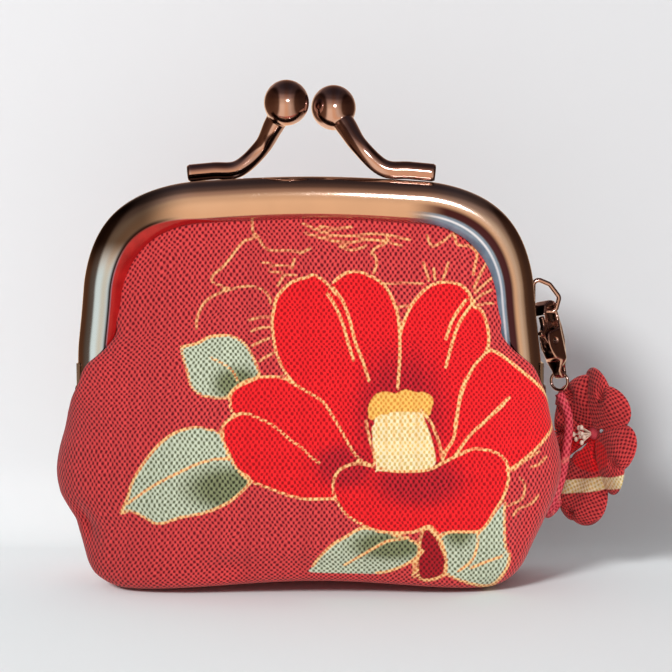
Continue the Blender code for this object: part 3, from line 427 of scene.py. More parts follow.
def in_turn(tree, parity, even, odd):
    """One value in the even cells and the other in the odd ones."""
    even_share = tree.math("MULTIPLY", even, tree.math("SUBTRACT", 1.0, parity))
    return tree.math("ADD", even_share, tree.math("MULTIPLY", odd, parity))


def weave(tree, pitch):
    """A plain weave: its height, the flat coordinates, and the numbers of each cell with its parity."""
    flat = tree.attribute("flat", "Vector")
    centred = tree.vector("SUBTRACT", tree.noise(flat, WANDER_SCALE, 3.0, "Color"), (0.5,) * 3)[0]
    moved = tree.vector("MULTIPLY_ADD", centred, (WANDER,) * 3, flat)[0]
    split = tree.node("ShaderNodeSeparateXYZ", Vector=moved)
    u = tree.math("DIVIDE", split.outputs[0], pitch * WARP_SPACING)
    v = tree.math("DIVIDE", split.outputs[1], pitch * WEFT_SPACING)
    cell_u, cell_v = tree.math("FLOOR", u), tree.math("FLOOR", v)
    parity = tree.math("MODULO", tree.math("ABSOLUTE", tree.math("ADD", cell_u, cell_v)), 2.0)
    near_u = tree.math("SUBTRACT", tree.math("FRACT", u), 0.5)
    near_v = tree.math("SUBTRACT", tree.math("FRACT", v), 0.5)
    square_u, square_v = tree.math("MULTIPLY", near_u, near_u), tree.math("MULTIPLY", near_v, near_v)
    arch = tree.math("COSINE", tree.math("MULTIPLY", near_v, WARP_ARCH))
    rounded = tree.math("MULTIPLY_ADD", square_u, WARP_ROUNDING, 1.0)
    warp = tree.math("MULTIPLY_ADD", tree.math("MULTIPLY", arch, rounded), WARP_RISE, WARP_LOW)
    from_middle = tree.math("ADD", square_u, square_v)
    hollow = tree.math("MAXIMUM", tree.math("MULTIPLY_ADD", from_middle, PIT_EDGE, 1.0), 0.0)
    weft = tree.math("MULTIPLY_ADD", hollow, -PIT_DEPTH, WEFT_HEIGHT)
    return in_turn(tree, parity, warp, weft), flat, (cell_u, cell_v, parity)


def thread_number(tree, cell_u, cell_v, parity):
    """A random number for the thread that lies on top."""
    numbers = []
    for cell in (cell_u, tree.math("ADD", cell_v, WEFT_SEED)):
        item = tree.node("ShaderNodeTexWhiteNoise")
        item.noise_dimensions = "1D"
        tree.put(item, "W", cell)
        numbers.append(item.outputs[0])
    return in_turn(tree, parity, *numbers)


print("warp threads are", WARP_SPACING, "of the pitch apart, weft threads", WEFT_SPACING)

# %% [markdown]
# ### Printed cotton
#
# Printing dyes the raised threads more than the hollows, and the hollows also carry painted shade, so
# each colour below is a pair: the thread's and the darker pit's. The print is laid on in layers, as a
# printer lays inks: thin gold lines first, then petals, leaves, bud, tuft and tube, and the bold gold
# outlines last. The same noise frays all their edges.

# %% Printed cotton
PITCH = 0.49
DARK_HEIGHT, LIGHT_HEIGHT = -0.02, 0.98
GROUND = (linear(220, 70, 70), linear(96, 2, 20))
PETAL_RED = (linear(246, 32, 38), linear(156, 2, 14))
PETAL_DEEP = (linear(186, 30, 44), linear(84, 2, 14))
LEAF_PALE = (linear(204, 212, 188), linear(92, 98, 72))
LEAF_DARK = (linear(112, 118, 72), linear(24, 28, 10))
GOLD = (linear(252, 206, 140), linear(202, 112, 62))
CREAM = (linear(244, 230, 190), linear(214, 180, 104))
TUFT_GOLD = (linear(242, 190, 96), linear(206, 132, 52))
BUD_RED = (linear(170, 20, 32), linear(96, 4, 14))
FRAY, LINE_FRAY, FRAY_SCALE = 0.16, 0.8, 2.2
AREA_EDGE = 0.16
GOLD_HALF_WIDTH, GOLD_EDGE = 0.24, 0.12
THIN_HALF_WIDTH, THIN_EDGE, THIN_STRENGTH = 0.19, 0.16, 0.85
THREAD_VARIATION, DARKEST_THREAD = 0.20, 0.90


def print_layers(tree, flat):
    """The print from its lowest layer to its top one: where each is, and its pair of colours."""
    fray = tree.math("MULTIPLY", tree.math("SUBTRACT", tree.noise(flat, FRAY_SCALE, 3.0), 0.5), FRAY)

    def area(name):
        return tree.ramp(tree.math("ADD", tree.attribute(name), fray), -AREA_EDGE, AREA_EDGE, 1.0, 0.0)

    def line(name, half_width, edge):
        distance = tree.math("ADD", tree.attribute(name), tree.math("MULTIPLY", fray, LINE_FRAY))
        return tree.ramp(distance, half_width - edge, half_width + edge, 1.0, 0.0)

    flower, leaf, tube = area("flower"), area("leaf"), area("tube")
    thin = line("thin_line", THIN_HALF_WIDTH, THIN_EDGE)
    return (
        (tree.math("MULTIPLY", thin, THIN_STRENGTH), GOLD),
        (flower, PETAL_RED),
        (tree.math("MULTIPLY", flower, tree.attribute("deep")), PETAL_DEEP),
        (leaf, LEAF_PALE),
        (tree.math("MULTIPLY", leaf, tree.attribute("leaf_dark")), LEAF_DARK),
        (area("bud"), BUD_RED),
        (area("tuft"), TUFT_GOLD),
        (tube, CREAM),
        (tree.math("MULTIPLY", tube, tree.attribute("stripe")), TUFT_GOLD),
        (line("gold_line", GOLD_HALF_WIDTH, GOLD_EDGE), GOLD),
    )


def cotton(name):
    """Woven cotton with the camellia print."""
    tree = material_tree(name)
    height, flat, cells = weave(tree, PITCH)
    thread, pit = GROUND
    for share, (thread_colour, pit_colour) in print_layers(tree, flat):
        thread = tree.mix(share, thread, thread_colour)
        pit = tree.mix(share, pit, pit_colour)
    # Low threads take the pit colour: partly less dye, partly painted shade in the hollows.
    colour = tree.mix(tree.ramp(height, DARK_HEIGHT, LIGHT_HEIGHT), pit, thread)
    varied = tree.math("MULTIPLY_ADD", thread_number(tree, *cells), THREAD_VARIATION, DARKEST_THREAD)
    grey = tree.node("ShaderNodeCombineColor", Red=varied, Green=varied, Blue=varied).outputs[0]
    tree.set(Base_Color=tree.mix(1.0, colour, grey, "MULTIPLY"), Roughness=0.82)
    tree.set(Specular_IOR_Level=0.25, Sheen_Weight=0.12)
    fuzz = tree.noise(flat, 14.0, 2.0)
    tree.bump(tree.math("MULTIPLY_ADD", fuzz, 0.25, height), 0.7, 0.00010)
    return tree.owner


printed_cotton = cotton("printed_cotton")
petal_cotton = cotton("petal_cotton")
print("printed cotton:", len(printed_cotton.node_tree.nodes), "nodes")

# %% [markdown]
# ### Plain cotton, paper and waxed thread
#
# The lining and the charm's cord are cotton of one colour in a finer weave, and the cord is rubbed paler
# in patches. Paper cord and waxed thread have no weave to show, so a fine grain is enough for them.

# %% Plain cotton and grainy finishes
LINING_PITCH, CORD_PITCH = 0.28, 0.46
RUBBED = linear(240, 150, 130)


def plain_cotton(name, pitch, reds, bump, rubbed=0.0):
    """Woven cotton of one colour, given as its pits' and its threads' tone, paler where it is rubbed; the
    darker pits are partly painted shade.
    """
    tree = material_tree(name)
    height, flat, _ = weave(tree, pitch)
    # The pits are darker: partly painted shade in the hollows.
    colour = tree.mix(tree.ramp(height, 0.0, LIGHT_HEIGHT), *reds)
    if rubbed:
        patches = tree.ramp(tree.noise(flat, 0.5, 2.0), 0.52, 0.66)
        colour = tree.mix(tree.math("MULTIPLY", patches, rubbed), colour, RUBBED)
    tree.set(Base_Color=colour, Roughness=0.85)
    tree.bump(height, *bump)
    return tree.owner


def grainy(name, grain_scale, detail, tones, roughness, bump):
    """A dull finish with a fine grain between two colours."""
    tree = material_tree(name)
    grain = tree.noise(tree.place(), grain_scale, detail)
    tree.set(Base_Color=tree.mix(grain, *tones), Roughness=roughness)
    tree.bump(grain, *bump)
    return tree.owner


LINING_REDS = (linear(104, 14, 24), linear(172, 44, 52))
CORD_REDS = (linear(140, 20, 38), linear(218, 78, 92))
PAPER_TONES = (linear(196, 174, 138), linear(222, 206, 176))
WAX_TONES = (linear(200, 150, 110), linear(222, 222, 216))
lining_cotton = plain_cotton("lining_cotton", LINING_PITCH, LINING_REDS, (0.6, 0.0001))
cord_cotton = plain_cotton("cord_cotton", CORD_PITCH, CORD_REDS, (0.8, 0.00015), 0.35)
paper = grainy("paper", 900.0, 4.0, PAPER_TONES, 0.92, (0.5, 0.0002))
waxed_thread = grainy("stamen", 1400.0, 3.0, WAX_TONES, 0.5, (0.3, 0.0001))
print("plain finishes:", [item.name for item in (lining_cotton, cord_cotton, paper, waxed_thread)])

# %% [markdown]
# ### Plated metal
#
# The frame and the fittings are plated and polished, so nearly all of their look is what they mirror. The
# material adds only what tells metal from a drawing of it: faint smudges, a few dull specks and a bump
# that is hardly there.

# %% Plated metal
SMUDGE_SCALE, SPECK_SCALE = 180.0, 2600.0
SMUDGE_ROUGHNESS, SPECK_ROUGHNESS = 0.04, 0.05
SMUDGE_SHARE, SMUDGE_SHADE = 0.35, 0.80


def metal(name, colour, roughness):
    """Polished plated metal with faint smudges and dull specks."""
    tree = material_tree(name)
    place = tree.place()
    cloud = tree.noise(place, SMUDGE_SCALE, 4.0)
    specks = tree.ramp(tree.noise(place, SPECK_SCALE, 2.0), 0.60, 0.72)
    shaded = linear(*(SMUDGE_SHADE * c for c in colour))
    smudged = tree.math("MULTIPLY_ADD", cloud, SMUDGE_ROUGHNESS, roughness)
    dull = tree.math("ADD", smudged, tree.math("MULTIPLY", specks, SPECK_ROUGHNESS))
    tone = tree.mix(tree.math("MULTIPLY", cloud, SMUDGE_SHARE), linear(*colour), shaded)
    tree.set(Base_Color=tone, Metallic=1.0, Roughness=dull)
    tree.bump(cloud, 0.04, 0.0003)
    return tree.owner


dark_metal = metal("dark_metal", (186, 160, 156), 0.10)
rivet_metal = metal("rivet_metal", (170, 160, 156), 0.24)
spring_steel = metal("spring_steel", (196, 196, 200), 0.22)
print("dark metal:", len(dark_metal.node_tree.nodes), "nodes")

# %% [markdown]
# Close to its lip, the rolled channel mirrors the cloth beside it and the room: red at the top left, cool
# and plum at the right, a silver band down the left leg and a dark patch above it. The photograph's exact
# surroundings aren't known, so no lamps could bring these back. They are painted instead, by place:
# `lip` is the share of the way round the curl, and x and z are millimetres on the purse.

# %% The channel's painted reflections and painted shade
RED_FROM_LIP = (0.70, 0.99)
REFLECTED_SILVER, REFLECTED_DARK_BROWN = linear(188, 222, 255), linear(44, 34, 30)
PAINTED_SHADE_GREY, PAINTED_EDGE_BROWN = linear(40, 34, 36), linear(40, 26, 24)
REFLECTED_CLOTH_REDS = (linear(196, 34, 34), linear(128, 6, 12))
REFLECTED_PLUM, PAINTED_HIGHLIGHT_WHITE = linear(64, 38, 46), linear(228, 232, 238)
REFLECTED_COOL_BLUES = (linear(70, 92, 116), linear(150, 172, 190))


def channel_with_painted_reflections():
    """The channel's plating with painted reflections: red beside its lip on the left, cool and plum on the
    right, a silver band, a dark patch and a white highlight, and painted shade on its ears and back.
    """
    tree = Tree(metal("gunmetal", (206, 190, 180), 0.10))
    lip, x, z = (tree.attribute(name) for name in ("lip", "place_x", "place_z"))

    def both(first, second):
        return tree.math("MULTIPLY", first, second)

    def left_of(full, gone):
        return tree.ramp(x, full, gone, 1.0, 0.0)

    def close_to_zero(value, reach):
        return tree.ramp(tree.math("ABSOLUTE", value), 0.0, reach, 1.0, 0.0)

    # A painted reflection of the red cloth, beside the lip on the left.
    past_red = tree.math("SUBTRACT", lip, tree.ramp(x, -30.0, -8.0, *RED_FROM_LIP))
    red = both(tree.ramp(past_red, 0.0, 0.04), left_of(-9.0, -6.0))
    # A painted dark line in the reflection, where the red reflection begins on the left.
    seam = both(close_to_zero(past_red, 0.05), left_of(-26.0, -20.0))
    # A painted silver reflection in a band down the left leg.
    low_left = both(left_of(-31.0, -26.0), tree.ramp(z, 50.0, 56.0, 1.0, 0.0))
    band = both(tree.ramp(lip, 0.26, 0.36), low_left)
    # A painted dark reflection on the left corner, above the silver band.
    shade = both(left_of(-27.0, -19.0), tree.ramp(z, 50.0, 56.0))
    # Painted plum and cool reflections towards the lip on the right.
    on_right = tree.ramp(x, 15.0, 22.0)
    plum = both(tree.ramp(lip, 0.56, 0.64), on_right)
    cool = both(tree.ramp(lip, 0.72, 0.76), on_right)
    # A painted white highlight along the curl on the right.
    painted_highlight = both(close_to_zero(tree.math("SUBTRACT", lip, 0.80), 0.035), on_right)
    ripple = tree.noise(tree.place(), 420.0, 2.0)
    tone = tree.shader.inputs["Base Color"].links[0].from_socket
    for share, colour in (
        (both(shade, 0.86), REFLECTED_DARK_BROWN),
        (band, REFLECTED_SILVER),
        # Painted shade: the ears and the channel's back, which carry no lip share, are darkened.
        (tree.ramp(lip, 0.0, 0.01, 0.8, 0.0), PAINTED_SHADE_GREY),
        (seam, PAINTED_EDGE_BROWN),
        (red, tree.mix(ripple, *REFLECTED_CLOTH_REDS)),
        (plum, REFLECTED_PLUM),
        (cool, tree.mix(ripple, *REFLECTED_COOL_BLUES)),
        (painted_highlight, PAINTED_HIGHLIGHT_WHITE),
    ):
        tone = tree.mix(share, tone, colour)
    # The red and cool painted reflections lower the metal share, so that their painted colour shows.
    painted = both(tree.math("MAXIMUM", red, cool), 0.85)
    tree.set(Base_Color=tone, Metallic=tree.math("SUBTRACT", 1.0, painted))
    return tree.owner


gunmetal = channel_with_painted_reflections()
print("materials:", sorted(material.name for material in bpy.data.materials))

# %% [markdown]
# ## The print, drawn as outlines
#
# The cloth is printed with a camellia, its leaves and its stamens inside gold outlines, a common
# traditional motif. A photograph of it could be wrapped round the bag, but its light and folds would come
# along. So each outline is a list of points on the upright plane of the purse's front, x to the right of
# the middle and z up from the floor, in millimetres, and a smooth line is laid through them.

# %% Edges of the petals
UPPER_LEFT_EDGE = (
    (-0.3, 50.1), (-3.0, 49.2), (-5.2, 47.0), (-5.8, 44.8), (-6.1, 43.1), (-5.9, 40.6), (-5.5, 38.2),
    (-4.4, 35.4), (-2.5, 32.9), (-0.3, 31.5), (2.1, 29.9), (3.8, 27.3), (5.0, 25.3), (6.7, 22.2),
    (8.1, 20.5), (10.4, 19.3),
)
UPPER_LEFT_TIP = ((-0.3, 50.1), (0.4, 50.4), (1.8, 49.8), (3.3, 48.4), (4.1, 47.4))
MIDDLE_TOP_EDGE = (
    (3.8, 49.3), (5.5, 50.6), (7.5, 51.0), (9.5, 50.3), (11.0, 49.5), (12.4, 48.1), (13.5, 45.8),
    (14.1, 43.8), (14.4, 40.7), (14.4, 36.7), (14.1, 32.1),
)
RIGHT_TOP_EDGE = (
    (14.4, 40.7), (15.0, 42.7), (16.1, 45.3), (17.8, 47.5), (19.5, 48.8), (21.8, 49.3), (24.1, 48.8),
    (25.5, 47.5),
)
RIGHT_OUTER_EDGE = (
    (25.5, 47.5), (26.4, 45.3), (27.5, 44.7), (28.4, 42.4), (28.7, 39.8), (28.1, 37.8), (26.4, 35.8),
    (25.0, 33.0), (24.1, 30.1), (23.3, 25.8),
)
FAR_RIGHT_EDGE = (
    (28.1, 37.8), (29.8, 38.1), (34.7, 34.4), (37.8, 31.5), (39.3, 28.1), (39.3, 26.2), (38.1, 24.2),
    (36.4, 22.2), (33.3, 19.6), (31.8, 18.7),
)
LOW_PETAL_EDGE = (
    (10.4, 19.3), (8.1, 19.9), (6.1, 19.6), (4.4, 18.5), (3.7, 16.5), (4.1, 14.2), (5.8, 11.6),
    (8.4, 9.9), (11.3, 8.7), (15.0, 8.5), (17.0, 8.7), (19.4, 9.6), (21.0, 8.2), (23.0, 8.7), (27.0, 8.7),
    (28.4, 9.6), (29.8, 11.9), (31.3, 14.5), (32.1, 17.6), (31.8, 19.9), (30.7, 21.3), (29.0, 22.0),
    (26.4, 22.3), (24.1, 21.3), (21.8, 20.2), (19.5, 19.0), (16.7, 18.6), (13.3, 18.7), (10.7, 19.3),
)
LEFT_TOP_EDGE = ((-12.8, 31.3), (-11.8, 32.4), (-9.9, 33.5), (-7.2, 34.0), (-4.4, 33.8), (-2.2, 32.6))
LEFT_TIP = ((-12.8, 31.3), (-12.8, 29.3), (-12.1, 27.4))
LOW_LEFT_EDGE = (
    (1.5, 19.9), (0.1, 21.0), (-1.6, 22.7), (-3.0, 23.6), (-5.8, 26.0), (-8.5, 27.4), (-10.5, 28.1),
    (-12.1, 27.6), (-13.8, 26.3), (-14.0, 24.9), (-13.8, 23.2), (-13.0, 21.0), (-11.8, 19.1),
    (-9.9, 17.2), (-7.2, 16.1), (-3.6, 14.7), (-0.8, 14.1), (1.6, 14.1), (4.0, 14.2),
)
print("the low petal has", len(LOW_PETAL_EDGE), "points")

# %% [markdown]
# The red area of the flower is walked round along the outer edges of its petals, so that the colour ends
# under the gold lines. The leaves share their edges with the petals in the same way.

# %% Areas of colour
FLOWER = (
    *UPPER_LEFT_EDGE[:8],
    *LEFT_TOP_EDGE[::-1],
    LEFT_TIP[1],
    *LOW_LEFT_EDGE[7:18],
    *LOW_PETAL_EDGE[5:19],
    *FAR_RIGHT_EDGE[::-1],
    *RIGHT_OUTER_EDGE[4::-1],
    *RIGHT_TOP_EDGE[-2::-1],
    *MIDDLE_TOP_EDGE[7::-1],
    *UPPER_LEFT_TIP[3:0:-1],
)
UPPER_LEAF = (
    (-20.7, 38.8), (-17.9, 39.5), (-16.0, 40.5), (-12.9, 40.6), (-10.7, 39.5), (-9.4, 37.6), (-8.5, 35.4),
    (-8.4, 34.0), (-11.3, 32.6), (-12.8, 31.5), (-13.0, 30.7), (-16.0, 30.7), (-18.2, 31.5),
    (-19.3, 32.9), (-19.8, 35.1), (-20.4, 37.1),
)
WIDE_LEAF = (
    (-30.4, 11.7), (-29.2, 14.1), (-28.4, 16.9), (-26.7, 19.9), (-24.5, 22.7), (-21.8, 24.8),
    (-19.0, 25.7), (-16.8, 25.6), (-14.6, 24.8), (-13.8, 23.2), (-11.8, 19.1), (-9.6, 17.2),
    (-11.6, 14.7), (-14.0, 13.0), (-17.4, 11.7), (-20.7, 11.1), (-24.5, 10.0), (-26.2, 10.8),
    (-28.7, 12.1),
)
LOW_LEAF_EDGE = (
    (0.4, 2.2), (1.5, 4.2), (3.5, 6.5), (5.8, 7.9), (8.4, 9.3), (11.2, 8.8), (15.0, 7.9), (17.8, 6.2),
    (17.3, 4.5), (15.5, 3.0), (12.7, 1.6), (10.7, 1.2),
)
RIGHT_LEAF_EDGE = (
    (21.0, 8.2), (22.1, 4.5), (22.4, 1.3), (28.7, -0.4), (31.5, 1.9), (32.4, 4.7), (31.7, 6.2),
    (31.5, 9.3), (31.5, 13.6),
)
LEAVES = (
    UPPER_LEAF,
    WIDE_LEAF,
    ((0.4, 1.0), *LOW_LEAF_EDGE[:-1], (10.7, 1.0)),
    (*LOW_PETAL_EDGE[12:16], (31.0, 13.0), *RIGHT_LEAF_EDGE[:0:-1]),
)
BUD = (
    (18.1, 8.7), (19.0, 9.3), (20.4, 7.9), (21.5, 5.6), (22.2, 3.0), (21.3, 1.0), (17.8, 0.5),
    (17.5, 5.0),
)
TUBE = (
    (10.4, 27.3), (10.7, 19.3), (11.0, 18.7), (16.6, 18.6), (19.0, 19.0), (20.3, 20.2), (19.5, 24.2),
    (18.4, 27.0), (17.8, 28.2),
)
TUFT = (
    (9.4, 27.9), (9.5, 29.6), (10.7, 31.3), (12.4, 31.6), (13.8, 31.3), (15.3, 32.0), (17.0, 31.5),
    (18.4, 31.5), (19.8, 30.5), (19.5, 28.7), (18.4, 27.5), (10.4, 27.0),
)
print("areas:", 4 + len(LEAVES), "and the flower is drawn with", len(FLOWER), "points")

# %% [markdown]
# The bold gold lines run round every area and along the folds and veins. Thinner lines behind the flower
# hint at a second bloom.

# %% Gold lines
FOLDS_AND_VEINS = (
    ((2.7, 47.5), (4.1, 45.3), (5.3, 42.4), (6.1, 39.5), (7.0, 36.7)),
    ((3.8, 48.2), (5.3, 46.1), (6.4, 43.0), (7.3, 39.5), (8.4, 36.7), (9.5, 33.3)),
    ((25.0, 46.4), (23.0, 43.5), (21.8, 40.1)),
    ((26.4, 46.4), (24.1, 43.0), (23.0, 40.1), (21.8, 35.5)),
    ((32.1, 30.7), (29.8, 28.4), (27.3, 25.8)),
    ((31.3, 29.6), (28.1, 26.7), (25.8, 24.5), (23.5, 21.3)),
    ((25.0, 33.6), (24.1, 30.7), (23.3, 24.5), (22.1, 22.2), (21.3, 20.5)),
    ((9.0, 27.0), (9.3, 25.0), (10.1, 22.2), (10.4, 20.2)),
    ((17.8, 28.7), (19.5, 26.5), (20.7, 23.6), (21.3, 20.7)),
    ((-16.0, 37.1), (-13.8, 36.0), (-12.4, 34.8), (-11.6, 33.2)),
    (
        (-29.2, 13.3), (-26.2, 15.5), (-24.0, 16.9), (-20.7, 18.6), (-17.9, 19.9), (-15.2, 20.6),
        (-12.7, 20.6),
    ),
    ((5.5, 2.5), (8.4, 4.7), (10.7, 6.2), (12.7, 7.2), (15.0, 7.5)),
    ((18.4, 5.6), (17.0, 3.6), (16.7, 0.7)),
    ((27.3, 8.7), (27.0, 5.9), (26.1, 3.6), (24.1, 1.9)),
    ((31.3, 4.7), (28.4, 3.6), (26.1, 2.5)),
)
GOLD_LINES = (
    UPPER_LEFT_EDGE, UPPER_LEFT_TIP, MIDDLE_TOP_EDGE, RIGHT_TOP_EDGE, RIGHT_OUTER_EDGE, FAR_RIGHT_EDGE,
    LOW_PETAL_EDGE, LEFT_TOP_EDGE, LEFT_TIP, LOW_LEFT_EDGE, LOW_LEAF_EDGE, RIGHT_LEAF_EDGE,
    UPPER_LEAF + UPPER_LEAF[:1], WIDE_LEAF + WIDE_LEAF[:1], BUD + BUD[:1], *FOLDS_AND_VEINS,
)
THIN_LINES = (
    ((-9.2, 59.4), (-9.1, 57.4), (-8.3, 56.5), (-7.4, 55.0), (-6.1, 54.3), (-3.6, 54.3), (-1.1, 54.1)),
    (
        (-8.3, 56.5), (-10.5, 55.8), (-11.8, 54.4), (-13.2, 52.5), (-14.6, 51.1), (-15.6, 50.3),
        (-15.6, 49.3), (-14.0, 48.6), (-12.9, 48.2),
    ),
    (
        (-18.2, 41.7), (-18.2, 43.1), (-17.6, 44.8), (-16.8, 46.1), (-15.2, 47.2), (-12.7, 48.1),
        (-9.9, 48.6), (-7.7, 48.1), (-6.6, 47.0), (-6.3, 45.9),
    ),
    ((-9.9, 43.1), (-8.2, 43.6), (-6.4, 43.7)),
    ((-9.4, 41.4), (-8.0, 41.9), (-6.4, 42.1)),
    ((-9.4, 39.0), (-7.7, 39.8), (-6.4, 40.3)),
    ((-8.2, 36.5), (-7.0, 37.3), (-5.8, 37.9)),
    ((-2.5, 53.0), (-2.8, 51.6)),
    ((-7.7, 52.5), (-5.4, 52.0), (-3.0, 51.7)),
    ((-6.6, 51.1), (-4.3, 50.6), (-2.2, 50.3)),
    ((-4.4, 50.0), (-5.2, 48.6)),
    ((-1.6, 53.8), (0.1, 54.7)),
    ((-1.1, 58.6), (1.9, 57.3), (4.8, 56.6), (8.0, 56.8), (11.2, 57.0), (16.0, 56.0)),
    ((-0.8, 57.1), (1.9, 56.3), (5.6, 55.5), (8.8, 56.0), (12.0, 55.8), (14.7, 55.0)),
    ((9.8, 53.8), (10.4, 54.7), (12.1, 55.5), (12.4, 56.7)),
    ((10.2, 53.8), (10.7, 52.4), (10.2, 50.7)),
    (
        (18.7, 56.7), (19.5, 55.0), (21.3, 55.8), (23.0, 57.0), (23.5, 55.3), (25.5, 55.0), (26.7, 53.8),
        (26.4, 52.1), (26.1, 50.4),
    ),
    ((22.1, 52.4), (21.8, 51.2), (21.3, 49.8)),
    ((18.1, 52.4), (18.6, 51.0), (19.0, 49.5)),
    ((19.8, 51.5), (20.0, 49.6)),
    ((29.3, 50.1), (27.8, 48.8), (26.4, 47.5)),
    ((29.1, 48.0), (27.8, 47.4), (26.7, 46.6)),
    ((29.4, 45.9), (28.2, 45.8), (26.9, 45.6)),
    ((28.3, 52.5), (27.2, 50.4), (26.2, 48.3)),
    ((11.8, 49.0), (14.4, 49.1), (18.1, 49.0)),
    ((13.8, 45.0), (14.7, 45.4), (15.8, 45.5)),
    ((32.7, 18.7), (34.1, 19.9), (37.0, 21.9)),
    ((33.8, 17.6), (34.7, 16.5), (34.4, 14.2), (32.1, 13.0)),
    ((35.5, 19.2), (37.0, 19.8), (38.2, 21.1)),
    ((32.8, 11.2), (33.9, 12.5), (35.7, 13.1), (37.0, 14.7)),
    ((1.6, 58.2), (4.0, 57.8), (6.7, 58.1)),
    ((4.8, 54.9), (6.7, 54.4), (9.0, 55.0)),
)
print("strokes:", len(GOLD_LINES), "gold and", len(THIN_LINES), "thin")

# %% [markdown]
# A material can't follow a drawn line by itself, so each point of the cloth is told how far it is from
# the nearest stroke, and for an area, whether it lies inside. The cloth's mesh is fine enough to carry
# that, and the material then draws a line of any width.

# %% Distances to the outlines
POINTS_AT_ONCE = 4000
FAR_AWAY = 99.0


def segments(lines, steps=4, closed=False):
    """All short straight pieces of some smoothed strokes, as starts and ends."""
    starts, ends = [], []
    for points in lines:
        run = through(points, steps if len(points) > 2 else 1, closed)
        starts.append(run if closed else run[:-1])
        ends.append(np.roll(run, -1, 0) if closed else run[1:])
    return np.vstack(starts), np.vstack(ends)


def distance_to(places, lines, closed=False):
    """How far each place is from the nearest stroke, in millimetres."""
    starts, ends = segments(lines, closed=closed)
    along = ends - starts
    squared = np.maximum((along**2).sum(1), 1e-9)
    nearest = np.empty(len(places))
    for first in range(0, len(places), POINTS_AT_ONCE):
        part = slice(first, first + POINTS_AT_ONCE)
        block = places[part, None] - starts
        t = np.clip((block * along).sum(2) / squared, 0, 1)
        nearest[part] = np.sqrt((((block - t[..., None] * along) ** 2).sum(2)).min(1))
    return nearest


def area_distance(places, areas):
    """Distance to the edge of some closed areas: negative inside them."""
    result = np.full(len(places), FAR_AWAY)
    for area in areas:
        starts, ends = segments([area], 2, closed=True)
        crossings = np.zeros(len(places), int)
        for (ax, az), (bx, bz) in zip(starts, ends):
            if az == bz:
                continue
            spans = (places[:, 1] > min(az, bz)) & (places[:, 1] <= max(az, bz))
            x_there = ax + (places[:, 1] - az) / (bz - az) * (bx - ax)
            crossings += spans & (x_there > places[:, 0])
        edge = distance_to(places, [area], closed=True)
        result = np.minimum(result, np.where(crossings % 2 == 1, -edge, edge))
    return result


tuft_gap = float(distance_to(np.array([(14.6, 29.5)]), GOLD_LINES)[0])
print("from the tuft's middle to a gold line:", round(tuft_gap, 1), "mm")

# %% [markdown]
# Where petals and leaves overlap, the print is shaded darker. Soft ovals stand for these shades. The tube
# of stamens is ribbed with fine stripes, which fade towards its foot.

# %% Shades and stripes
DEEP_CENTRES = ((14.6, 27.5, 9.0, 13.0), (17.5, 17.0, 9.0, 5.0), (5.5, 19.5, 6.0, 4.5))
LEAF_SHADES = ((-11.8, 32.8, 4.6, 3.4), (-12.5, 15.8, 9.0, 4.4), (13.0, 6.4, 8.0, 3.2), (24.0, 9.5, 3.4, 4.0))
SHADE_FADE = (0.45, 1.15)
SHADE_STRENGTH = 0.85
RIB_START, RIB_PITCH = 11.0, 1.25
RIB_FADE_Z = (20.0, 28.0)


def blobs(places, centres):
    """Soft ovals, each given as its centre and its two half sizes."""
    result = np.zeros(len(places))
    for x, z, wide, high in centres:
        reach = np.hypot((places[:, 0] - x) / wide, (places[:, 1] - z) / high)
        result = np.maximum(result, 1 - steps_between(reach, *SHADE_FADE))
    return result * SHADE_STRENGTH


def give_print(item, places):
    """Store on a piece of cloth where it lies in the print."""
    give(item, "gold_line", distance_to(places, GOLD_LINES))
    give(item, "thin_line", distance_to(places, THIN_LINES))
    areas = {"flower": [FLOWER], "leaf": LEAVES, "bud": [BUD], "tube": [TUBE], "tuft": [TUFT]}
    for name, outlines in areas.items():
        give(item, name, area_distance(places, outlines))
    give(item, "deep", blobs(places, DEEP_CENTRES))
    give(item, "leaf_dark", blobs(places, LEAF_SHADES))
    rib = 0.5 + 0.5 * np.cos((places[:, 0] - RIB_START) * math.tau / RIB_PITCH)
    give(item, "stripe", rib**3 * (0.35 + 0.4 * steps_between(places[:, 1], *RIB_FADE_Z)))


print("shades:", len(DEEP_CENTRES), "on the petals,", len(LEAF_SHADES), "on the leaves")

# %% [markdown]
# ## The cotton bag
#
# Each side of the bag is one panel. It starts at the seam under the bottom, runs forward and up over the
# belly, and ends in the channel of the metal frame. Low rows of it end in the side seam at y = 0, the next
# ones in the free edge beside the hinge, and the last ones in the channel. A cloth simulation could find
# such a shape by itself, but it would sag otherwise at each run, and the channel has to hold the edge
# exactly. So the rows are superellipses through the stations below, spaced evenly along the cloth.

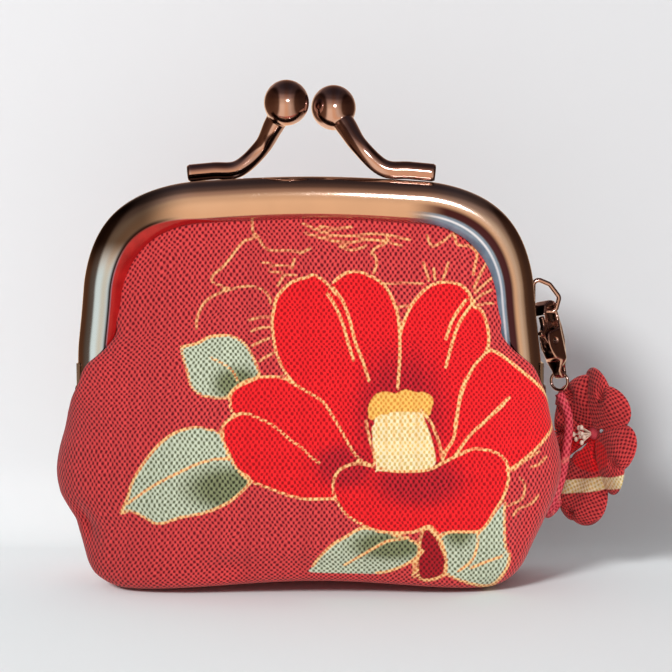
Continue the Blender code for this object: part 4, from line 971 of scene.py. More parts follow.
# %% Stations of a panel
# middle y and z, edge x, y and z, squareness, and share of the frame's arch
STATIONS = (
    (0.0, 0.9, 17.0, 0.0, 0.7, 4.0, 0.0),
    (-5.0, 0.8, 22.5, 0.0, 0.5, 4.0, 0.0),
    (-9.3, 0.9, 27.0, 0.0, 0.3, 4.5, 0.0),
    (-11.4, 1.6, 30.3, 0.0, 0.5, 4.5, 0.0),
    (-12.3, 3.0, 33.0, 0.0, 1.9, 4.2, 0.0),
    (-12.9, 5.0, 34.8, 0.0, 4.0, 3.8, 0.0),
    (-13.5, 8.0, 36.4, 0.0, 7.2, 3.4, 0.0),
    (-13.9, 11.5, 38.2, 0.0, 10.8, 3.1, 0.0),
    (-14.1, 15.0, 40.0, 0.0, 14.6, 2.8, 0.0),
    (-14.1, 18.5, 40.9, 0.0, 18.4, 2.7, 0.0),
    (-14.0, 22.0, 40.6, 0.0, 22.2, 2.6, 0.0),
    (-13.6, 25.5, 39.6, -0.3, 25.6, 2.5, 0.0),
    (-12.9, 29.0, 38.8, -1.8, 28.4, 2.4, 0.0),
    (-11.9, 32.0, 38.1, -4.2, 30.8, 2.3, 0.0),
    (-10.9, 35.0, 37.0, -5.4, 33.2, 2.2, 0.0),
    (-9.8, 38.0, 35.5, -5.5, 36.0, 2.2, 0.0),
    (-8.8, 41.0, 32.3, -5.3, 38.6, 2.2, 0.0),
    (-7.8, 44.0, 30.5, -4.3, 41.2, 2.2, 0.0),
    (-6.6, 47.0, 31.1, -2.6, 44.5, 2.2, 0.0),
    (-5.8, 50.2, 30.82, -2.6, 47.18, 2.2, 0.1),
    (-4.9, 53.3, 30.35, -2.6, 49.4, 2.2, 0.3),
    (-3.9, 56.0, 29.5, -2.6, 51.8, 2.2, 0.55),
    (-2.95, 58.6, 28.2, -2.5, 54.0, 2.2, 0.8),
    (-2.35, 60.9, 26.54, -2.35, 55.76, 2.3, 1.0),
)
CLOTH_INSET = 5.0
ARCH_END_X = 26.54
HALF_PANEL = 46.0
ROWS_BETWEEN_STATIONS, POINTS_IN_A_ROW = 12, 700


def arch_drop(x):
    """How far the inset outline has dropped from its top at x, as a share of its drop at the arch's end."""
    radius = ARCH_RADIUS - CLOTH_INSET
    small = CORNER_RADIUS - CLOTH_INSET
    on_arch = arch_centre_z + np.sqrt(radius**2 - x**2)
    on_corner = corner_z + np.sqrt(np.maximum(small**2 - (np.maximum(x, corner_x) - corner_x) ** 2, 0))
    meeting = corner_x + small * math.cos(arch_angle)
    z = np.where(x < meeting, on_arch, on_corner)
    top = arch_centre_z + radius
    end = corner_z + math.sqrt(small**2 - (ARCH_END_X - corner_x) ** 2)
    return (top - z) / (top - end)


def station_row(middle_y, middle_z, edge_x, edge_y, edge_z, power, arch):
    """The right half of one row of the panel, as closely spaced points."""
    turn = np.linspace(0, math.pi / 2, POINTS_IN_A_ROW)
    share = np.sin(turn) ** (2 / power)
    y = edge_y + (middle_y - edge_y) * np.cos(turn) ** (2 / power)
    y[-1] = edge_y
    bend = (1 - arch) * share**2 + arch * arch_drop(share * ARCH_END_X)
    return np.stack([edge_x * share, y, middle_z + (edge_z - middle_z) * bend], 1)


def panel_points(spacing):
    """The front panel's points, and their places on the flat cloth, as rows by columns."""
    dense_rows, across_rows = [], []
    half_columns = int(round(HALF_PANEL / spacing))
    for station in through(STATIONS, ROWS_BETWEEN_STATIONS):
        line = station_row(*station)
        run = length_along(line)
        wanted = np.linspace(0, run[-1], half_columns + 1)
        right = np.stack([np.interp(wanted, run, line[:, axis]) for axis in range(3)], 1)
        dense_rows.append(np.vstack([right[:0:-1] * (-1, 1, 1), right]))
        across_rows.append(np.concatenate([-wanted[:0:-1], wanted]))
    dense, across = np.array(dense_rows), np.array(across_rows)
    gaps = np.linalg.norm(np.diff(dense, axis=0), axis=2).mean(1)
    down = np.concatenate([[0], np.cumsum(gaps)])
    rows = int(round(down[-1] / spacing))
    wanted = np.linspace(0, down[-1], rows + 1)
    points = np.empty((rows + 1, dense.shape[1], 3))
    flat_across = np.empty(points.shape[:2])
    for column in range(dense.shape[1]):
        for axis in range(3):
            points[:, column, axis] = np.interp(wanted, down, dense[:, column, axis])
        flat_across[:, column] = np.interp(wanted, down, across[:, column])
    flat_along = np.repeat(wanted[:, None], dense.shape[1], 1)
    return points, flat_across, flat_along


print("stations:", len(STATIONS), "from the bottom seam to the channel")

# %% [markdown]
# The print was drawn as the camera sees it, so each point of the cloth is first moved along its line of
# sight into the drawing's plane. Round the sides and under the bottom that would squeeze the print to
# nothing, so there it keeps at least a share of the cloth's own length.

# %% Lay the print on the panel
CAMERA_PLACE = (4.16, -250.0, 62.0)
PRINT_PLANE_Y = -4.0
LEAST_STRETCH = 0.45
BELLY_Y = -11.0


def seen_in_plane(x, y, middle):
    """A coordinate moved along its line of sight into the drawing's plane."""
    return middle + (x - middle) / ((y - CAMERA_PLACE[1]) / (PRINT_PLANE_Y - CAMERA_PLACE[1]))


def print_places(points):
    """Where the panel's points lie in the print, carried round the sides at the cloth's own length."""
    x = seen_in_plane(points[..., 0], points[..., 1], CAMERA_PLACE[0])
    z = seen_in_plane(points[..., 2], points[..., 1], CAMERA_PLACE[2])
    middle = points.shape[1] // 2
    run = np.linalg.norm(np.diff(points, axis=1), axis=2)
    step = np.maximum(np.abs(np.diff(x, axis=1)), LEAST_STRETCH * run)
    right = np.cumsum(step[:, middle:], axis=1) + x[:, middle : middle + 1]
    left = x[:, middle : middle + 1] - np.cumsum(step[:, :middle][:, ::-1], axis=1)[:, ::-1]
    x = np.concatenate([left, x[:, middle : middle + 1], right], axis=1)
    start = int(np.argmax(points[:, middle, 1] < BELLY_Y))
    rise = np.linalg.norm(np.diff(points, axis=0), axis=2)
    step = np.maximum(np.diff(z, axis=0), LEAST_STRETCH * rise)
    below = z[start : start + 1] - np.cumsum(step[:start][::-1], axis=0)[::-1]
    z = np.concatenate([below, z[start:]], axis=0)
    return np.stack([x, z], -1).reshape(-1, 2)


print("the print is drawn in the plane y =", PRINT_PLANE_Y)

# %% [markdown]
# A new, tightly filled purse would be smooth. This one is soft cotton that has been handled: its left
# side swells, shallow waves run across the belly, folds start at the corners, and small gathers show at
# the shoulders and under the channel. Each is a small push outwards, given by its place and its size.

# %% Folds and gathers
SWELL_Z = (0.0, 2.3, 5.5, 10.9, 15.0, 19.0, 23.0, 28.3, 33.0)
SWELL = (0.05, 0.05, 0.03, 0.0, 0.017, 0.012, 0.008, 0.012, 0.0)
# x and z of the middle, half width and half height, depth, and lean in radians
FOLDS = (
    (-35.4, 11.0, 1.1, 3.4, 1.5, 0.45),
    (-12.5, 4.6, 3.6, 2.2, 0.9, 0.2),
    (-19.0, 8.0, 2.4, 4.2, 0.5, -0.6),
    (-30.0, 6.0, 2.0, 5.0, 0.5, -0.5),
    (34.0, 12.0, 1.5, 4.5, 0.8, -0.3),
    (3.0, 4.5, 6.0, 2.0, 0.4, 0.0),
    (24.0, 5.0, 2.6, 3.2, 0.45, 0.5),
    (-27.0, 31.0, 3.4, 8.0, 0.4, 0.6),
    (-31.0, 21.0, 2.2, 6.5, 0.35, -0.2),
)
WAVE_DEPTH, FINE_WAVE_DEPTH = 0.20, 0.13
SHOULDER_Z, SHOULDER_HEIGHT, SHOULDER_GATHER = 38.0, 5.0, 0.10
MOUTH_GATHER, MOUTH_PITCH = 0.08, 1.9
LIFT, LIFT_X, LIFT_REACH = 1.1, 2.0, 17.0


def fold_depth(x, z):
    """How far the folds stand out, in millimetres."""
    out = 0.0
    for fold_x, fold_z, wide, high, depth, lean in FOLDS:
        along_x = (x - fold_x) * math.cos(lean) + (z - fold_z) * math.sin(lean)
        along_z = (z - fold_z) * math.cos(lean) - (x - fold_x) * math.sin(lean)
        out = out + depth * np.exp(-((along_x / wide) ** 2) - (along_z / high) ** 2)
    return out


def soften(points, side):
    """Small sags, folds and the wider left side of the real bag."""
    x, y, z = points[..., 0].copy(), points[..., 1], points[..., 2].copy()
    if side == FRONT:
        points[..., 0] = np.where(x < 0, x * (1 + np.interp(z, SWELL_Z, SWELL)), x)
    facing = np.clip(-y / 9.0, 0, 1)
    low = 1 - steps_between(z, 14.0, 40.0)
    waves = WAVE_DEPTH * np.sin(x / 4.6 + 0.8 * np.sin(z / 6.0))
    waves = waves + FINE_WAVE_DEPTH * np.sin(x / 2.7 - z / 5.0 + 1.3)
    out = -0.25 * waves * low * facing
    if side == FRONT:
        out = out + fold_depth(x, z)
    shoulder = np.exp(-(((z - SHOULDER_Z) / SHOULDER_HEIGHT) ** 2)) * steps_between(np.abs(x), 22.0, 31.0)
    gathers = np.sin(np.arctan2(z - 50.0, np.abs(x) - 40.0) * 26)
    mouth = steps_between(z, 50.0, 58.0)
    out = out + SHOULDER_GATHER * shoulder * gathers + MOUTH_GATHER * mouth * np.sin(x / MOUTH_PITCH)
    points[..., 1] = y + out
    lifted = np.exp(-(((x - LIFT_X) / LIFT_REACH) ** 2)) * (1 - steps_between(z, 1.0, 9.0))
    points[..., 2] = z + LIFT * lifted * steps_between(np.abs(y), 1.0, 9.0)
    return points


print("folds:", len(FOLDS), "on the front")

# %% [markdown]
# The visible side carries the print as the photograph shows it. The other side is the same cotton cut
# from another part of the roll, so its print is mirrored and shifted. Each panel gets its thickness from
# a Solidify modifier, which is applied at once, so that the mesh is the cloth as it is.

# %% Make the panels
CLOTH_THICKNESS = 0.42
PANEL_SPACING = 0.5
BACK_SHIFT = (-13.0, 6.0)


def apply_modifiers(item):
    """Replace a mesh by what its modifiers make of it."""
    bpy.context.view_layer.update()
    shape = item.evaluated_get(bpy.context.evaluated_depsgraph_get())
    old = item.data
    item.modifiers.clear()
    item.data = bpy.data.meshes.new_from_object(shape)
    bpy.data.meshes.remove(old)
    item.data.shade_smooth()
    return item


def thicken(item, thickness):
    """Give a sheet its thickness, on its inner side."""
    shell = item.modifiers.new("Thickness", "SOLIDIFY")
    shell.thickness = thickness * MM
    shell.offset = -1.0
    shell.use_even_offset = False
    return apply_modifiers(item)


def cloth_mesh(name, points, side, material):
    """A mesh of rows by columns whose faces look outwards on that side."""
    faces = grid_faces(*points.shape[:2])
    if side == BACK:
        faces = faces[:, ::-1]
    return new_mesh(name, points.reshape(-1, 3), faces, material)


def make_panel(side, label):
    """One outer panel with its print, and the points that the lining follows."""
    points, flat_across, flat_along = panel_points(PANEL_SPACING)
    wide, high = float(np.ptp(flat_across)), float(flat_along.max())
    print(f"{label} panel, flat:", round(wide, 1), "by", round(high, 1), "mm")
    points = squarer(points)
    places = print_places(points)
    points = soften(points, side)
    if side == BACK:
        places = places * (-1, 1) + BACK_SHIFT
        points = points * (1, -1, 1)
    item = cloth_mesh(f"{label}_cloth", points, side, printed_cotton)
    give_flat(item, flat_across.ravel(), flat_along.ravel())
    give_print(item, places)
    return thicken(item, CLOTH_THICKNESS), points


front_cloth, front_points = make_panel(FRONT, "front")
back_cloth, back_points = make_panel(BACK, "back")
print("front cloth:", len(front_cloth.data.vertices), "points, back cloth:", len(back_cloth.data.vertices))

# %% [markdown]
# A purse like this is sewn as two bags, one in the other, and both are held in the channel. The lining
# takes the panel's own points, every third one, and moves them a little inwards along the cloth's normal.
# It never touches the outer cloth, so no faces fight for the same place.

# %% Line the bag
LINING_GAP, LINING_THICKNESS = 0.85, 0.3
LINING_FLOOR = 1.6
LINING_STEP = 3


def every(count):
    """Every third row or column, and always the last."""
    return list(range(0, count - 1, LINING_STEP)) + [count - 1]


def make_lining(side, label, points):
    """The lining: the panel's own shape, a little inside it."""
    coarse = points[np.ix_(every(points.shape[0]), every(points.shape[1]))]
    down = np.gradient(coarse, axis=0)
    across = np.gradient(coarse, axis=1)
    normal = np.cross(across, down) * (1 if side == FRONT else -1)
    normal /= np.maximum(np.linalg.norm(normal, axis=2)[..., None], 1e-9)
    inner = coarse - normal * LINING_GAP
    inner[..., 2] = np.maximum(inner[..., 2], LINING_FLOOR)
    item = cloth_mesh(f"{label}_lining", inner, side, lining_cotton)
    give_flat(item, inner[..., 0].ravel(), np.cumsum(np.linalg.norm(down, axis=2), 0).ravel())
    return thicken(item, LINING_THICKNESS)


front_lining = make_lining(FRONT, "front", front_points)
back_lining = make_lining(BACK, "back", back_points)
print("linings:", len(front_lining.data.vertices), "and", len(back_lining.data.vertices), "points")

# %% [markdown]
# When the purse opens, the cloth below the hinges stays with the bag and the cloth above them swings with
# its frame half. Each cloth and its lining are single pieces; the CAD cloth shells are hidden, and each new
# piece's placement is baked into its mesh.

# %% Hide the CAD cloth and bake the new cloth in place
for label, cloth, lining in (("front", front_cloth, front_lining), ("back", back_cloth, back_lining)):
    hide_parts(f"outer_{label}", "outer_bag")
    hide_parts(f"lining_{label}", "lining_bag")
    for item, slot in ((cloth, "printed_cotton"), (lining, "lining_cotton")):
        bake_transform(item)

# %% [markdown]
# ## The rolled metal frame
#
# Each half is one strip of sheet, rolled over: a back wall, a round spine, and a curl whose lip turns back
# in over the cloth. A curve object with a bevel profile could sweep it, but the material has to know how
# far round the curl each point lies, so the section is swept by hand. It is an open line with a thickness
# and rounded lips, and fine steps along the outline keep its reflections free of facets.

# %% Section of the channel
CHANNEL_INSET, CHANNEL_DEPTH = 3.1, 2.45
HALF_SHEET, BACK_WALL = 0.3, 2.2
CURL_DEPTH, SPINE_REACH, CURL_REACH = 2.0, 2.8, 3.4
CURL_END = math.radians(15)


def channel_outline():
    """The closed section of the channel, as inset and depth."""
    wall_depth = CHANNEL_DEPTH - CURL_DEPTH
    line = [(CHANNEL_INSET + BACK_WALL, wall_depth), (CHANNEL_INSET + BACK_WALL / 2, wall_depth)]
    for angle in np.linspace(math.radians(270), CURL_END, 40):
        reach = CURL_REACH if angle < math.pi / 2 else SPINE_REACH
        line.append((CHANNEL_INSET + reach * math.cos(angle), CHANNEL_DEPTH + CURL_DEPTH * math.sin(angle)))
    line = np.array(line)
    along = np.gradient(line, axis=0)
    along /= np.linalg.norm(along, axis=1)[:, None]
    normal = np.stack([along[:, 1], -along[:, 0]], 1)
    outer, inner = line - normal * HALF_SHEET, line + normal * HALF_SHEET
    tip = [
        line[-1] + HALF_SHEET * (along[-1] * math.sin(a) - normal[-1] * math.cos(a))
        for a in np.linspace(0, math.pi, 9)[1:-1]
    ]
    tail = [
        line[0] - HALF_SHEET * (along[0] * math.sin(a) - normal[0] * math.cos(a))
        for a in np.linspace(0, math.pi, 7)[1:-1]
    ]
    return np.vstack([outer, tip, inner[::-1], tail])


def lip_share(inset, depth):
    """The share of the way round the curl: 0 on the back wall and the spine, 1 at the lip."""
    if depth <= CHANNEL_DEPTH:
        return 0.0
    turned = math.atan2((depth - CHANNEL_DEPTH) / CURL_DEPTH, (inset - CHANNEL_INSET) / SPINE_REACH)
    return (math.pi - turned) / (math.pi - CURL_END)


print("section of the channel:", len(channel_outline()), "points")

# %% Sweep a frame half
FRAME_STEPS = 241


def sweep_frame(side, label):
    """One half of the frame, with the numbers that its painted reflections and painted shade read."""
    section = channel_outline()
    points, lips = [], []
    for fraction in np.linspace(-1, 1, FRAME_STEPS):
        for inset, depth in section:
            x, z = frame_point(fraction, inset)
            points.append((x, side * depth, z))
            lips.append(lip_share(inset, depth))
    points = squarer(points)
    count = len(section)
    faces = [list(face) for face in grid_faces(FRAME_STEPS, count, wrap=True)]
    faces.append(list(range(count)))
    faces.append(list(range(len(points) - count, len(points)))[::-1])
    if side == FRONT:
        faces = [face[::-1] for face in faces]
    item = new_mesh(f"{label}_frame_metal", points, faces, gunmetal)
    give(item, "lip", lips)
    give(item, "place_x", points[:, 0])
    give(item, "place_z", points[:, 2])
    return item


print("a frame half takes", FRAME_STEPS, "sections")

# %% [markdown]
# At its ends the strip is flattened into an ear with a hole for the rivet, and the back ears nest inside
# the front ones. A flat curve with a hole, extruded and with a small bevel, is just how such a plate is
# punched, so here a curve object is the simplest way, and it is turned into a mesh at once.

# %% Hinge ears
EAR_RADIUS, EAR_HOLE = 1.5, 0.8
EAR_HALF_SHEET, EAR_EDGE = 0.24, 0.06
EAR_HEIGHT, EAR_BACK_Y = 5.0, 0.35
EAR_NECK = ((0.62, -0.9), (0.93, 0.2), (1.0, 1.6))
NEST = {FRONT: 0.0, BACK: 0.9}


def around_hinge(radius, turns):
    """Points of an arc about the hinge, as y and z."""
    return [(radius * math.cos(a), HINGE_HEIGHT + radius * math.sin(a)) for a in turns]


def ear_plate(side, end):
    """A hinge ear: a drilled disc with a neck up to its half of the frame, cut from sheet."""
    reach = CHANNEL_DEPTH + 1.5
    top = HINGE_HEIGHT + EAR_HEIGHT
    curve = bpy.data.curves.new("ear", "CURVE")
    curve.dimensions = "2D"
    curve.fill_mode = "BOTH"
    curve.extrude = EAR_HALF_SHEET * MM
    curve.bevel_depth = EAR_EDGE * MM
    curve.bevel_resolution = 2
    curve.offset = -EAR_EDGE * MM
    outline = around_hinge(EAR_RADIUS, np.linspace(math.pi * 0.52, math.pi * 1.62, 22))
    outline += [(reach * share, HINGE_HEIGHT + rise) for share, rise in EAR_NECK]
    outline += [(reach, top), (EAR_BACK_Y, top)]
    hole = around_hinge(EAR_HOLE, np.linspace(0, math.tau, 24, endpoint=False))
    for line in (outline, hole):
        spline = curve.splines.new("POLY")
        spline.points.add(len(line) - 1)
        for point, (y, z) in zip(spline.points, line):
            point.co = (side * y * MM, z * MM, 0.0, 1.0)
        spline.use_cyclic_u = True
    drawing = put_in_scene("ear", curve)
    bpy.context.view_layer.update()
    mesh = bpy.data.meshes.new_from_object(drawing.evaluated_get(bpy.context.evaluated_depsgraph_get()))
    bpy.data.objects.remove(drawing)
    plane_x = end * (HALF_WIDTH - NEST[side] - HALF_SHEET) * MM
    mesh.transform(Matrix(((0, 0, 1, plane_x), (1, 0, 0, 0), (0, 1, 0, 0), (0, 0, 0, 1))))
    mesh.materials.clear()
    mesh.materials.append(gunmetal)
    mesh.shade_smooth()
    mesh.set_sharp_from_angle(angle=math.radians(40))
    return put_in_scene("ear", mesh)


def join(target, others):
    """Put other mesh objects into one."""
    for item in bpy.context.view_layer.objects.selected:
        item.select_set(False)
    for item in [target, *others]:
        item.select_set(True)
    bpy.context.view_layer.objects.active = target
    bpy.ops.object.join()
    return target


for side, label in ((FRONT, "front"), (BACK, "back")):
    metal_frame = join(sweep_frame(side, label), [ear_plate(side, end) for end in (-1, 1)])
    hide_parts(f"{label}_frame")
    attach(metal_frame, label)
    print(metal_frame.name, len(metal_frame.data.polygons), "faces")

# %% [markdown]
# ## The ball clasps
#
# A clasp is one turned and bent bar: a foot that lies on the frame, a knee, a neck that swells, and the
# ball. A sphere set on a rod would show a hard ring where they meet. Here one tube makes it all: its
# radius is a soft maximum of the bar's own radius and the ball's half chord, which leaves a small fillet.

# %% Line of a clasp
BALL_RADIUS, BAR_RADIUS = 3.6, 1.42
SOLDER_GAP = 0.3
FOOT_SHARES = (0.330, 0.195)
KNEE_X, KNEE_RISE = 8.0, 3.4
BALL_X, BALL_Y = 3.75, 1.6
BALL_STEPS = 15
NECK_START, NECK_LENGTH = -6.0, 2.2


def clasp_line(side, end, ball_height):
    """The bar's middle line, and how far each of its points is past the ball's centre."""
    above = -(SOLDER_GAP + BAR_RADIUS)
    (out_x, out_z), (in_x, in_z) = (frame_point(end * share, above) for share in FOOT_SHARES)
    foot_y = side * CHANNEL_DEPTH
    foot_out, foot_in = np.array((out_x, foot_y, out_z)), np.array((in_x, foot_y, in_z))
    knee = np.array((end * KNEE_X, foot_y, in_z + KNEE_RISE))
    ball = np.array((end * BALL_X, -side * BALL_Y, ball_height))
    route = through([foot_out, (foot_out + foot_in) / 2, foot_in, knee, (knee + ball) / 2, ball], 14)
    direction = (route[-1] - route[-4]) / np.linalg.norm(route[-1] - route[-4])
    past = np.linspace(0, 1, BALL_STEPS + 1)[1:]
    route = np.vstack([route, ball + direction * (BALL_RADIUS * np.sin(past * math.pi / 2))[:, None]])
    from_ball = length_along(route)
    from_ball -= from_ball[-1 - BALL_STEPS]
    bar = np.linspace(from_ball[0], NECK_START, 46)
    neck = NECK_START + np.linspace(0, 1, 60)[1:] * NECK_LENGTH
    sphere = BALL_RADIUS * np.sin(np.linspace(-math.pi / 2 * 0.98, math.pi / 2, 46))
    finer = np.unique(np.round(np.concatenate([bar, neck, sphere]), 4))
    return np.stack([np.interp(finer, from_ball, route[:, axis]) for axis in range(3)], 1), finer


print("foot of a clasp:", round((FOOT_SHARES[0] - FOOT_SHARES[1]) * HALF_OUTLINE, 1), "mm long")

# %% Thickness of a clasp
NECK_SWELL, SWELL_ZONE, FADE_ZONE = 0.22, (-9.0, -3.0), (-2.0, 3.2)
FILLET_POWER = 5
FOOT_EDGE, FOOT_EDGE_LENGTH = 0.13, 0.35
BAR_SIDES = 56


def clasp_radii(finer):
    """The radius along the bar, from its foot's rounded edge to the top of the ball."""
    chord = np.sqrt(np.maximum(BALL_RADIUS**2 - finer**2, 0.0))
    neck = BAR_RADIUS * (1 + NECK_SWELL * steps_between(finer, *SWELL_ZONE))
    neck = neck * (1 - steps_between(finer, *FADE_ZONE))
    radii = (chord**FILLET_POWER + neck**FILLET_POWER) ** (1 / FILLET_POWER)
    from_foot = np.clip((finer - finer[0]) / FOOT_EDGE_LENGTH, 0, 1)
    radii = radii * (1 - FOOT_EDGE * (1 - from_foot) ** 2)
    radii[-1] = 0.02
    return radii


for side, end, label, ball_height in ((FRONT, 1, "front", 77.3), (BACK, -1, "back", 77.9)):
    route, finer = clasp_line(side, end, ball_height)
    bar = tube_mesh(f"{label}_clasp_bar", route, clasp_radii(finer), dark_metal, BAR_SIDES)
    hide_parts(f"{label}_ball_clasp")
    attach(bar, label)
    print(bar.name, "bar", round(float(finer[-1] - finer[0]), 1), "mm long")

# %% [markdown]
# ## Side loop and jump ring
#
# Both are bent from wire and closed, so both are closed tubes. The loop is a D with five soft corners,
# soldered to the frame's right side, and its corners are arcs of one radius, as a bending tool makes them.


# %% Bend the side loop
def rounded_corners(corners, radius, steps):
    """A closed outline in a plane, whose corners are arcs of one radius."""
    corners = [np.array(corner, float) for corner in corners]
    result = []
    for index, corner in enumerate(corners):
        back_way = corners[index - 1] - corner
        on_way = corners[(index + 1) % len(corners)] - corner
        back_way, on_way = back_way / np.linalg.norm(back_way), on_way / np.linalg.norm(on_way)
        half = math.acos(float(np.clip(back_way @ on_way, -1, 1))) / 2
        middle = (back_way + on_way) / np.linalg.norm(back_way + on_way)
        centre = corner + middle * radius / math.sin(half)
        start = corner + back_way * radius / math.tan(half) - centre
        stop = corner + on_way * radius / math.tan(half) - centre
        sweep = math.atan2(start[0] * stop[1] - start[1] * stop[0], float(start @ stop))
        for turn in sweep * np.arange(steps + 1) / steps:
            cos, sin = math.cos(turn), math.sin(turn)
            turned = (start[0] * cos - start[1] * sin, start[0] * sin + start[1] * cos)
            result.append(centre + np.array(turned))
    return result


LOOP_PLACE = (36.573, 2.45, 46.9)
LOOP_REACH, LOOP_HEIGHT = 4.3, 5.6
LOOP_WIRE, LOOP_CORNER = 0.38, 0.9
loop_corners = (
    (0.0, -LOOP_HEIGHT / 2),
    (LOOP_REACH * 0.86, -LOOP_HEIGHT / 2),
    (LOOP_REACH, -LOOP_HEIGHT * 0.08),
    (LOOP_REACH * 0.62, LOOP_HEIGHT * 0.30),
    (0.0, LOOP_HEIGHT / 2),
)
loop_line = rounded_corners(loop_corners, LOOP_CORNER, 12)
loop_path = [(LOOP_PLACE[0] + x, LOOP_PLACE[1], LOOP_PLACE[2] + z) for x, z in loop_line]
side_loop = tube_mesh("side_loop_wire", loop_path, LOOP_WIRE, dark_metal, 20, closed=True)
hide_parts("side_loop")
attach(side_loop, "back")
print("side loop:", len(side_loop.data.vertices), "points")

# %% Close the jump ring
RING_CENTRE = np.array((41.043, 2.45, 32.581))
RING_TURN = math.radians(56)
RING_RADIUS, RING_WIRE = 1.5, 0.25
turns = np.linspace(0, math.tau, 72, endpoint=False)[:, None]
ring_across = np.array((-math.sin(RING_TURN), math.cos(RING_TURN), 0.0)) * RING_RADIUS
ring_path = RING_CENTRE + np.cos(turns) * ring_across + np.sin(turns) * (0.0, 0.0, RING_RADIUS)
ring = tube_mesh("jump_ring_wire", ring_path, RING_WIRE, dark_metal, 16, closed=True)
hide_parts("jump_ring")
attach(ring, "ring")
print("jump ring:", len(ring.data.vertices), "points")

# %% [markdown]
# ## Lobster clasp, pins and paper cords
#
# The rivets, the clasp's pin and spring and the paper cords are seen only as small glimpses, so they stay
# CAD shapes and only get their finish. The lobster clasp hangs in full view. Its body and lever are cast,
# with no sharp edge anywhere, while the CAD solids have flat sides. Bevels would follow the facets, so
# both are remeshed in small voxels and smoothed, and the body is also swelled across its middle.

# %% Finish the CAD parts
FINISHES = {
    "clasp_pin": rivet_metal,
    "clasp_spring": spring_steel,
    "left_hinge_rivet": rivet_metal,
    "right_hinge_rivet": rivet_metal,
    "front_paper_cord": paper,
    "back_paper_cord": paper,
}
for name, finish in FINISHES.items():
    node = frame["nodes"][name]
    node.data.materials.clear()
    node.data.materials.append(finish)
print("finished:", ", ".join(FINISHES))

# %% Cast the lobster clasp
CASTING_SCALE = 100.0
VOXEL, SMOOTH_ROUNDS = ((0.11, 18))
BODY_BULGE, BULGE_REACH = 0.75, 1.3


def fill_out(mesh, bulge):
    """Thicken a mesh across its flattest direction, most at its middle."""
    points = np.array([vertex.co for vertex in mesh.vertices])
    middle = points.mean(0)
    _, _, axes = np.linalg.svd(points - middle, full_matrices=False)
    spread = (points - middle) @ axes.T
    spread[:, 2] *= 1 + bulge * np.exp(-((spread[:, 1] / (BULGE_REACH * MM)) ** 2))
    mesh.vertices.foreach_set("co", (spread @ axes + middle).ravel())
    mesh.update()


def cast(name, bulge):
    """A CAD part with the soft corners of a casting, remeshed a hundred times larger."""
    node = frame["nodes"][name]
    item = put_in_scene(f"{name}_casting", bpy.data.meshes.new_from_object(node))
    item.data.transform(Matrix.Scale(CASTING_SCALE, 4) @ node.matrix_world)
    remesh = item.modifiers.new("Voxels", "REMESH")
    remesh.mode = "VOXEL"
    remesh.voxel_size = VOXEL * MM * CASTING_SCALE
    apply_modifiers(item)
    item.data.transform(Matrix.Scale(1 / CASTING_SCALE, 4))
    if bulge:
        fill_out(item.data, bulge)
    smooth = item.modifiers.new("Soft_corners", "SMOOTH")
    smooth.factor = 0.5
    smooth.iterations = SMOOTH_ROUNDS
    apply_modifiers(item)
    item.data.materials.clear()
    item.data.materials.append(dark_metal)
    item.data.shade_smooth()
    return item


for name, body, bulge in (("clasp_body", "clasp", BODY_BULGE), ("clasp_lever", "lever", 0.0)):
    casting = cast(name, bulge)
    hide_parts(name)
    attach(casting, body)
    print(casting.name, len(casting.data.polygons), "faces")

# %% [markdown]
# ## The charm
#
# A soft cord of plain cotton hangs from the ring, turns back up behind the flower and ends in it. Its
# route is listed point by point, as a fixed length would fall, and a tube follows it.

# %% Hang the cord
CORD_ROUTE = (
    (41.04, 2.45, 30.5), (41.75, 2.3, 29.0), (42.5, 2.1, 27.0), (42.6, 1.9, 24.5), (42.3, 1.6, 21.9),
    (41.9, 1.3, 19.3), (41.4, 1.0, 16.8), (40.65, 0.7, 14.5), (39.8, 0.6, 12.6), (39.2, 1.2, 11.0),
    (39.5, 2.9, 10.3), (40.6, 4.9, 10.6), (41.8, 6.9, 11.7), (42.6, 8.5, 13.6), (44.3, 9.7, 15.9),
    (46.2, 9.6, 17.5), (47.7, 8.5, 18.9), (48.7, 7.1, 20.7), (49.2, 5.8, 22.4),
)
CORD_RADIUS, CORD_SIDES = 0.75, 24
cord_path = through(CORD_ROUTE, 8)
cord_run = length_along(cord_path)
charm_cord = tube_mesh("charm_cord_cotton", cord_path, CORD_RADIUS, cord_cotton, CORD_SIDES)
around = np.abs(np.linspace(-0.5, 0.5, CORD_SIDES, endpoint=False)) * math.tau * CORD_RADIUS
give_flat(charm_cord, np.tile(around, len(cord_path)), np.repeat(cord_run, CORD_SIDES))
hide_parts("charm_cord")

# %% [markdown]
# ### Stuffed petals
#
# The petals are sewn and stuffed. Modelled by hand they would look carved, so each starts as it is sewn:
# two flat layers with a shared edge. Blender's cloth then fills it with pressure until the cotton stands
# full and puckers at its seam. It runs a hundred times larger, because cloth behaves badly at millimetre
# size. A full petal is heart-shaped: it widens from its root, and its end has a notch.

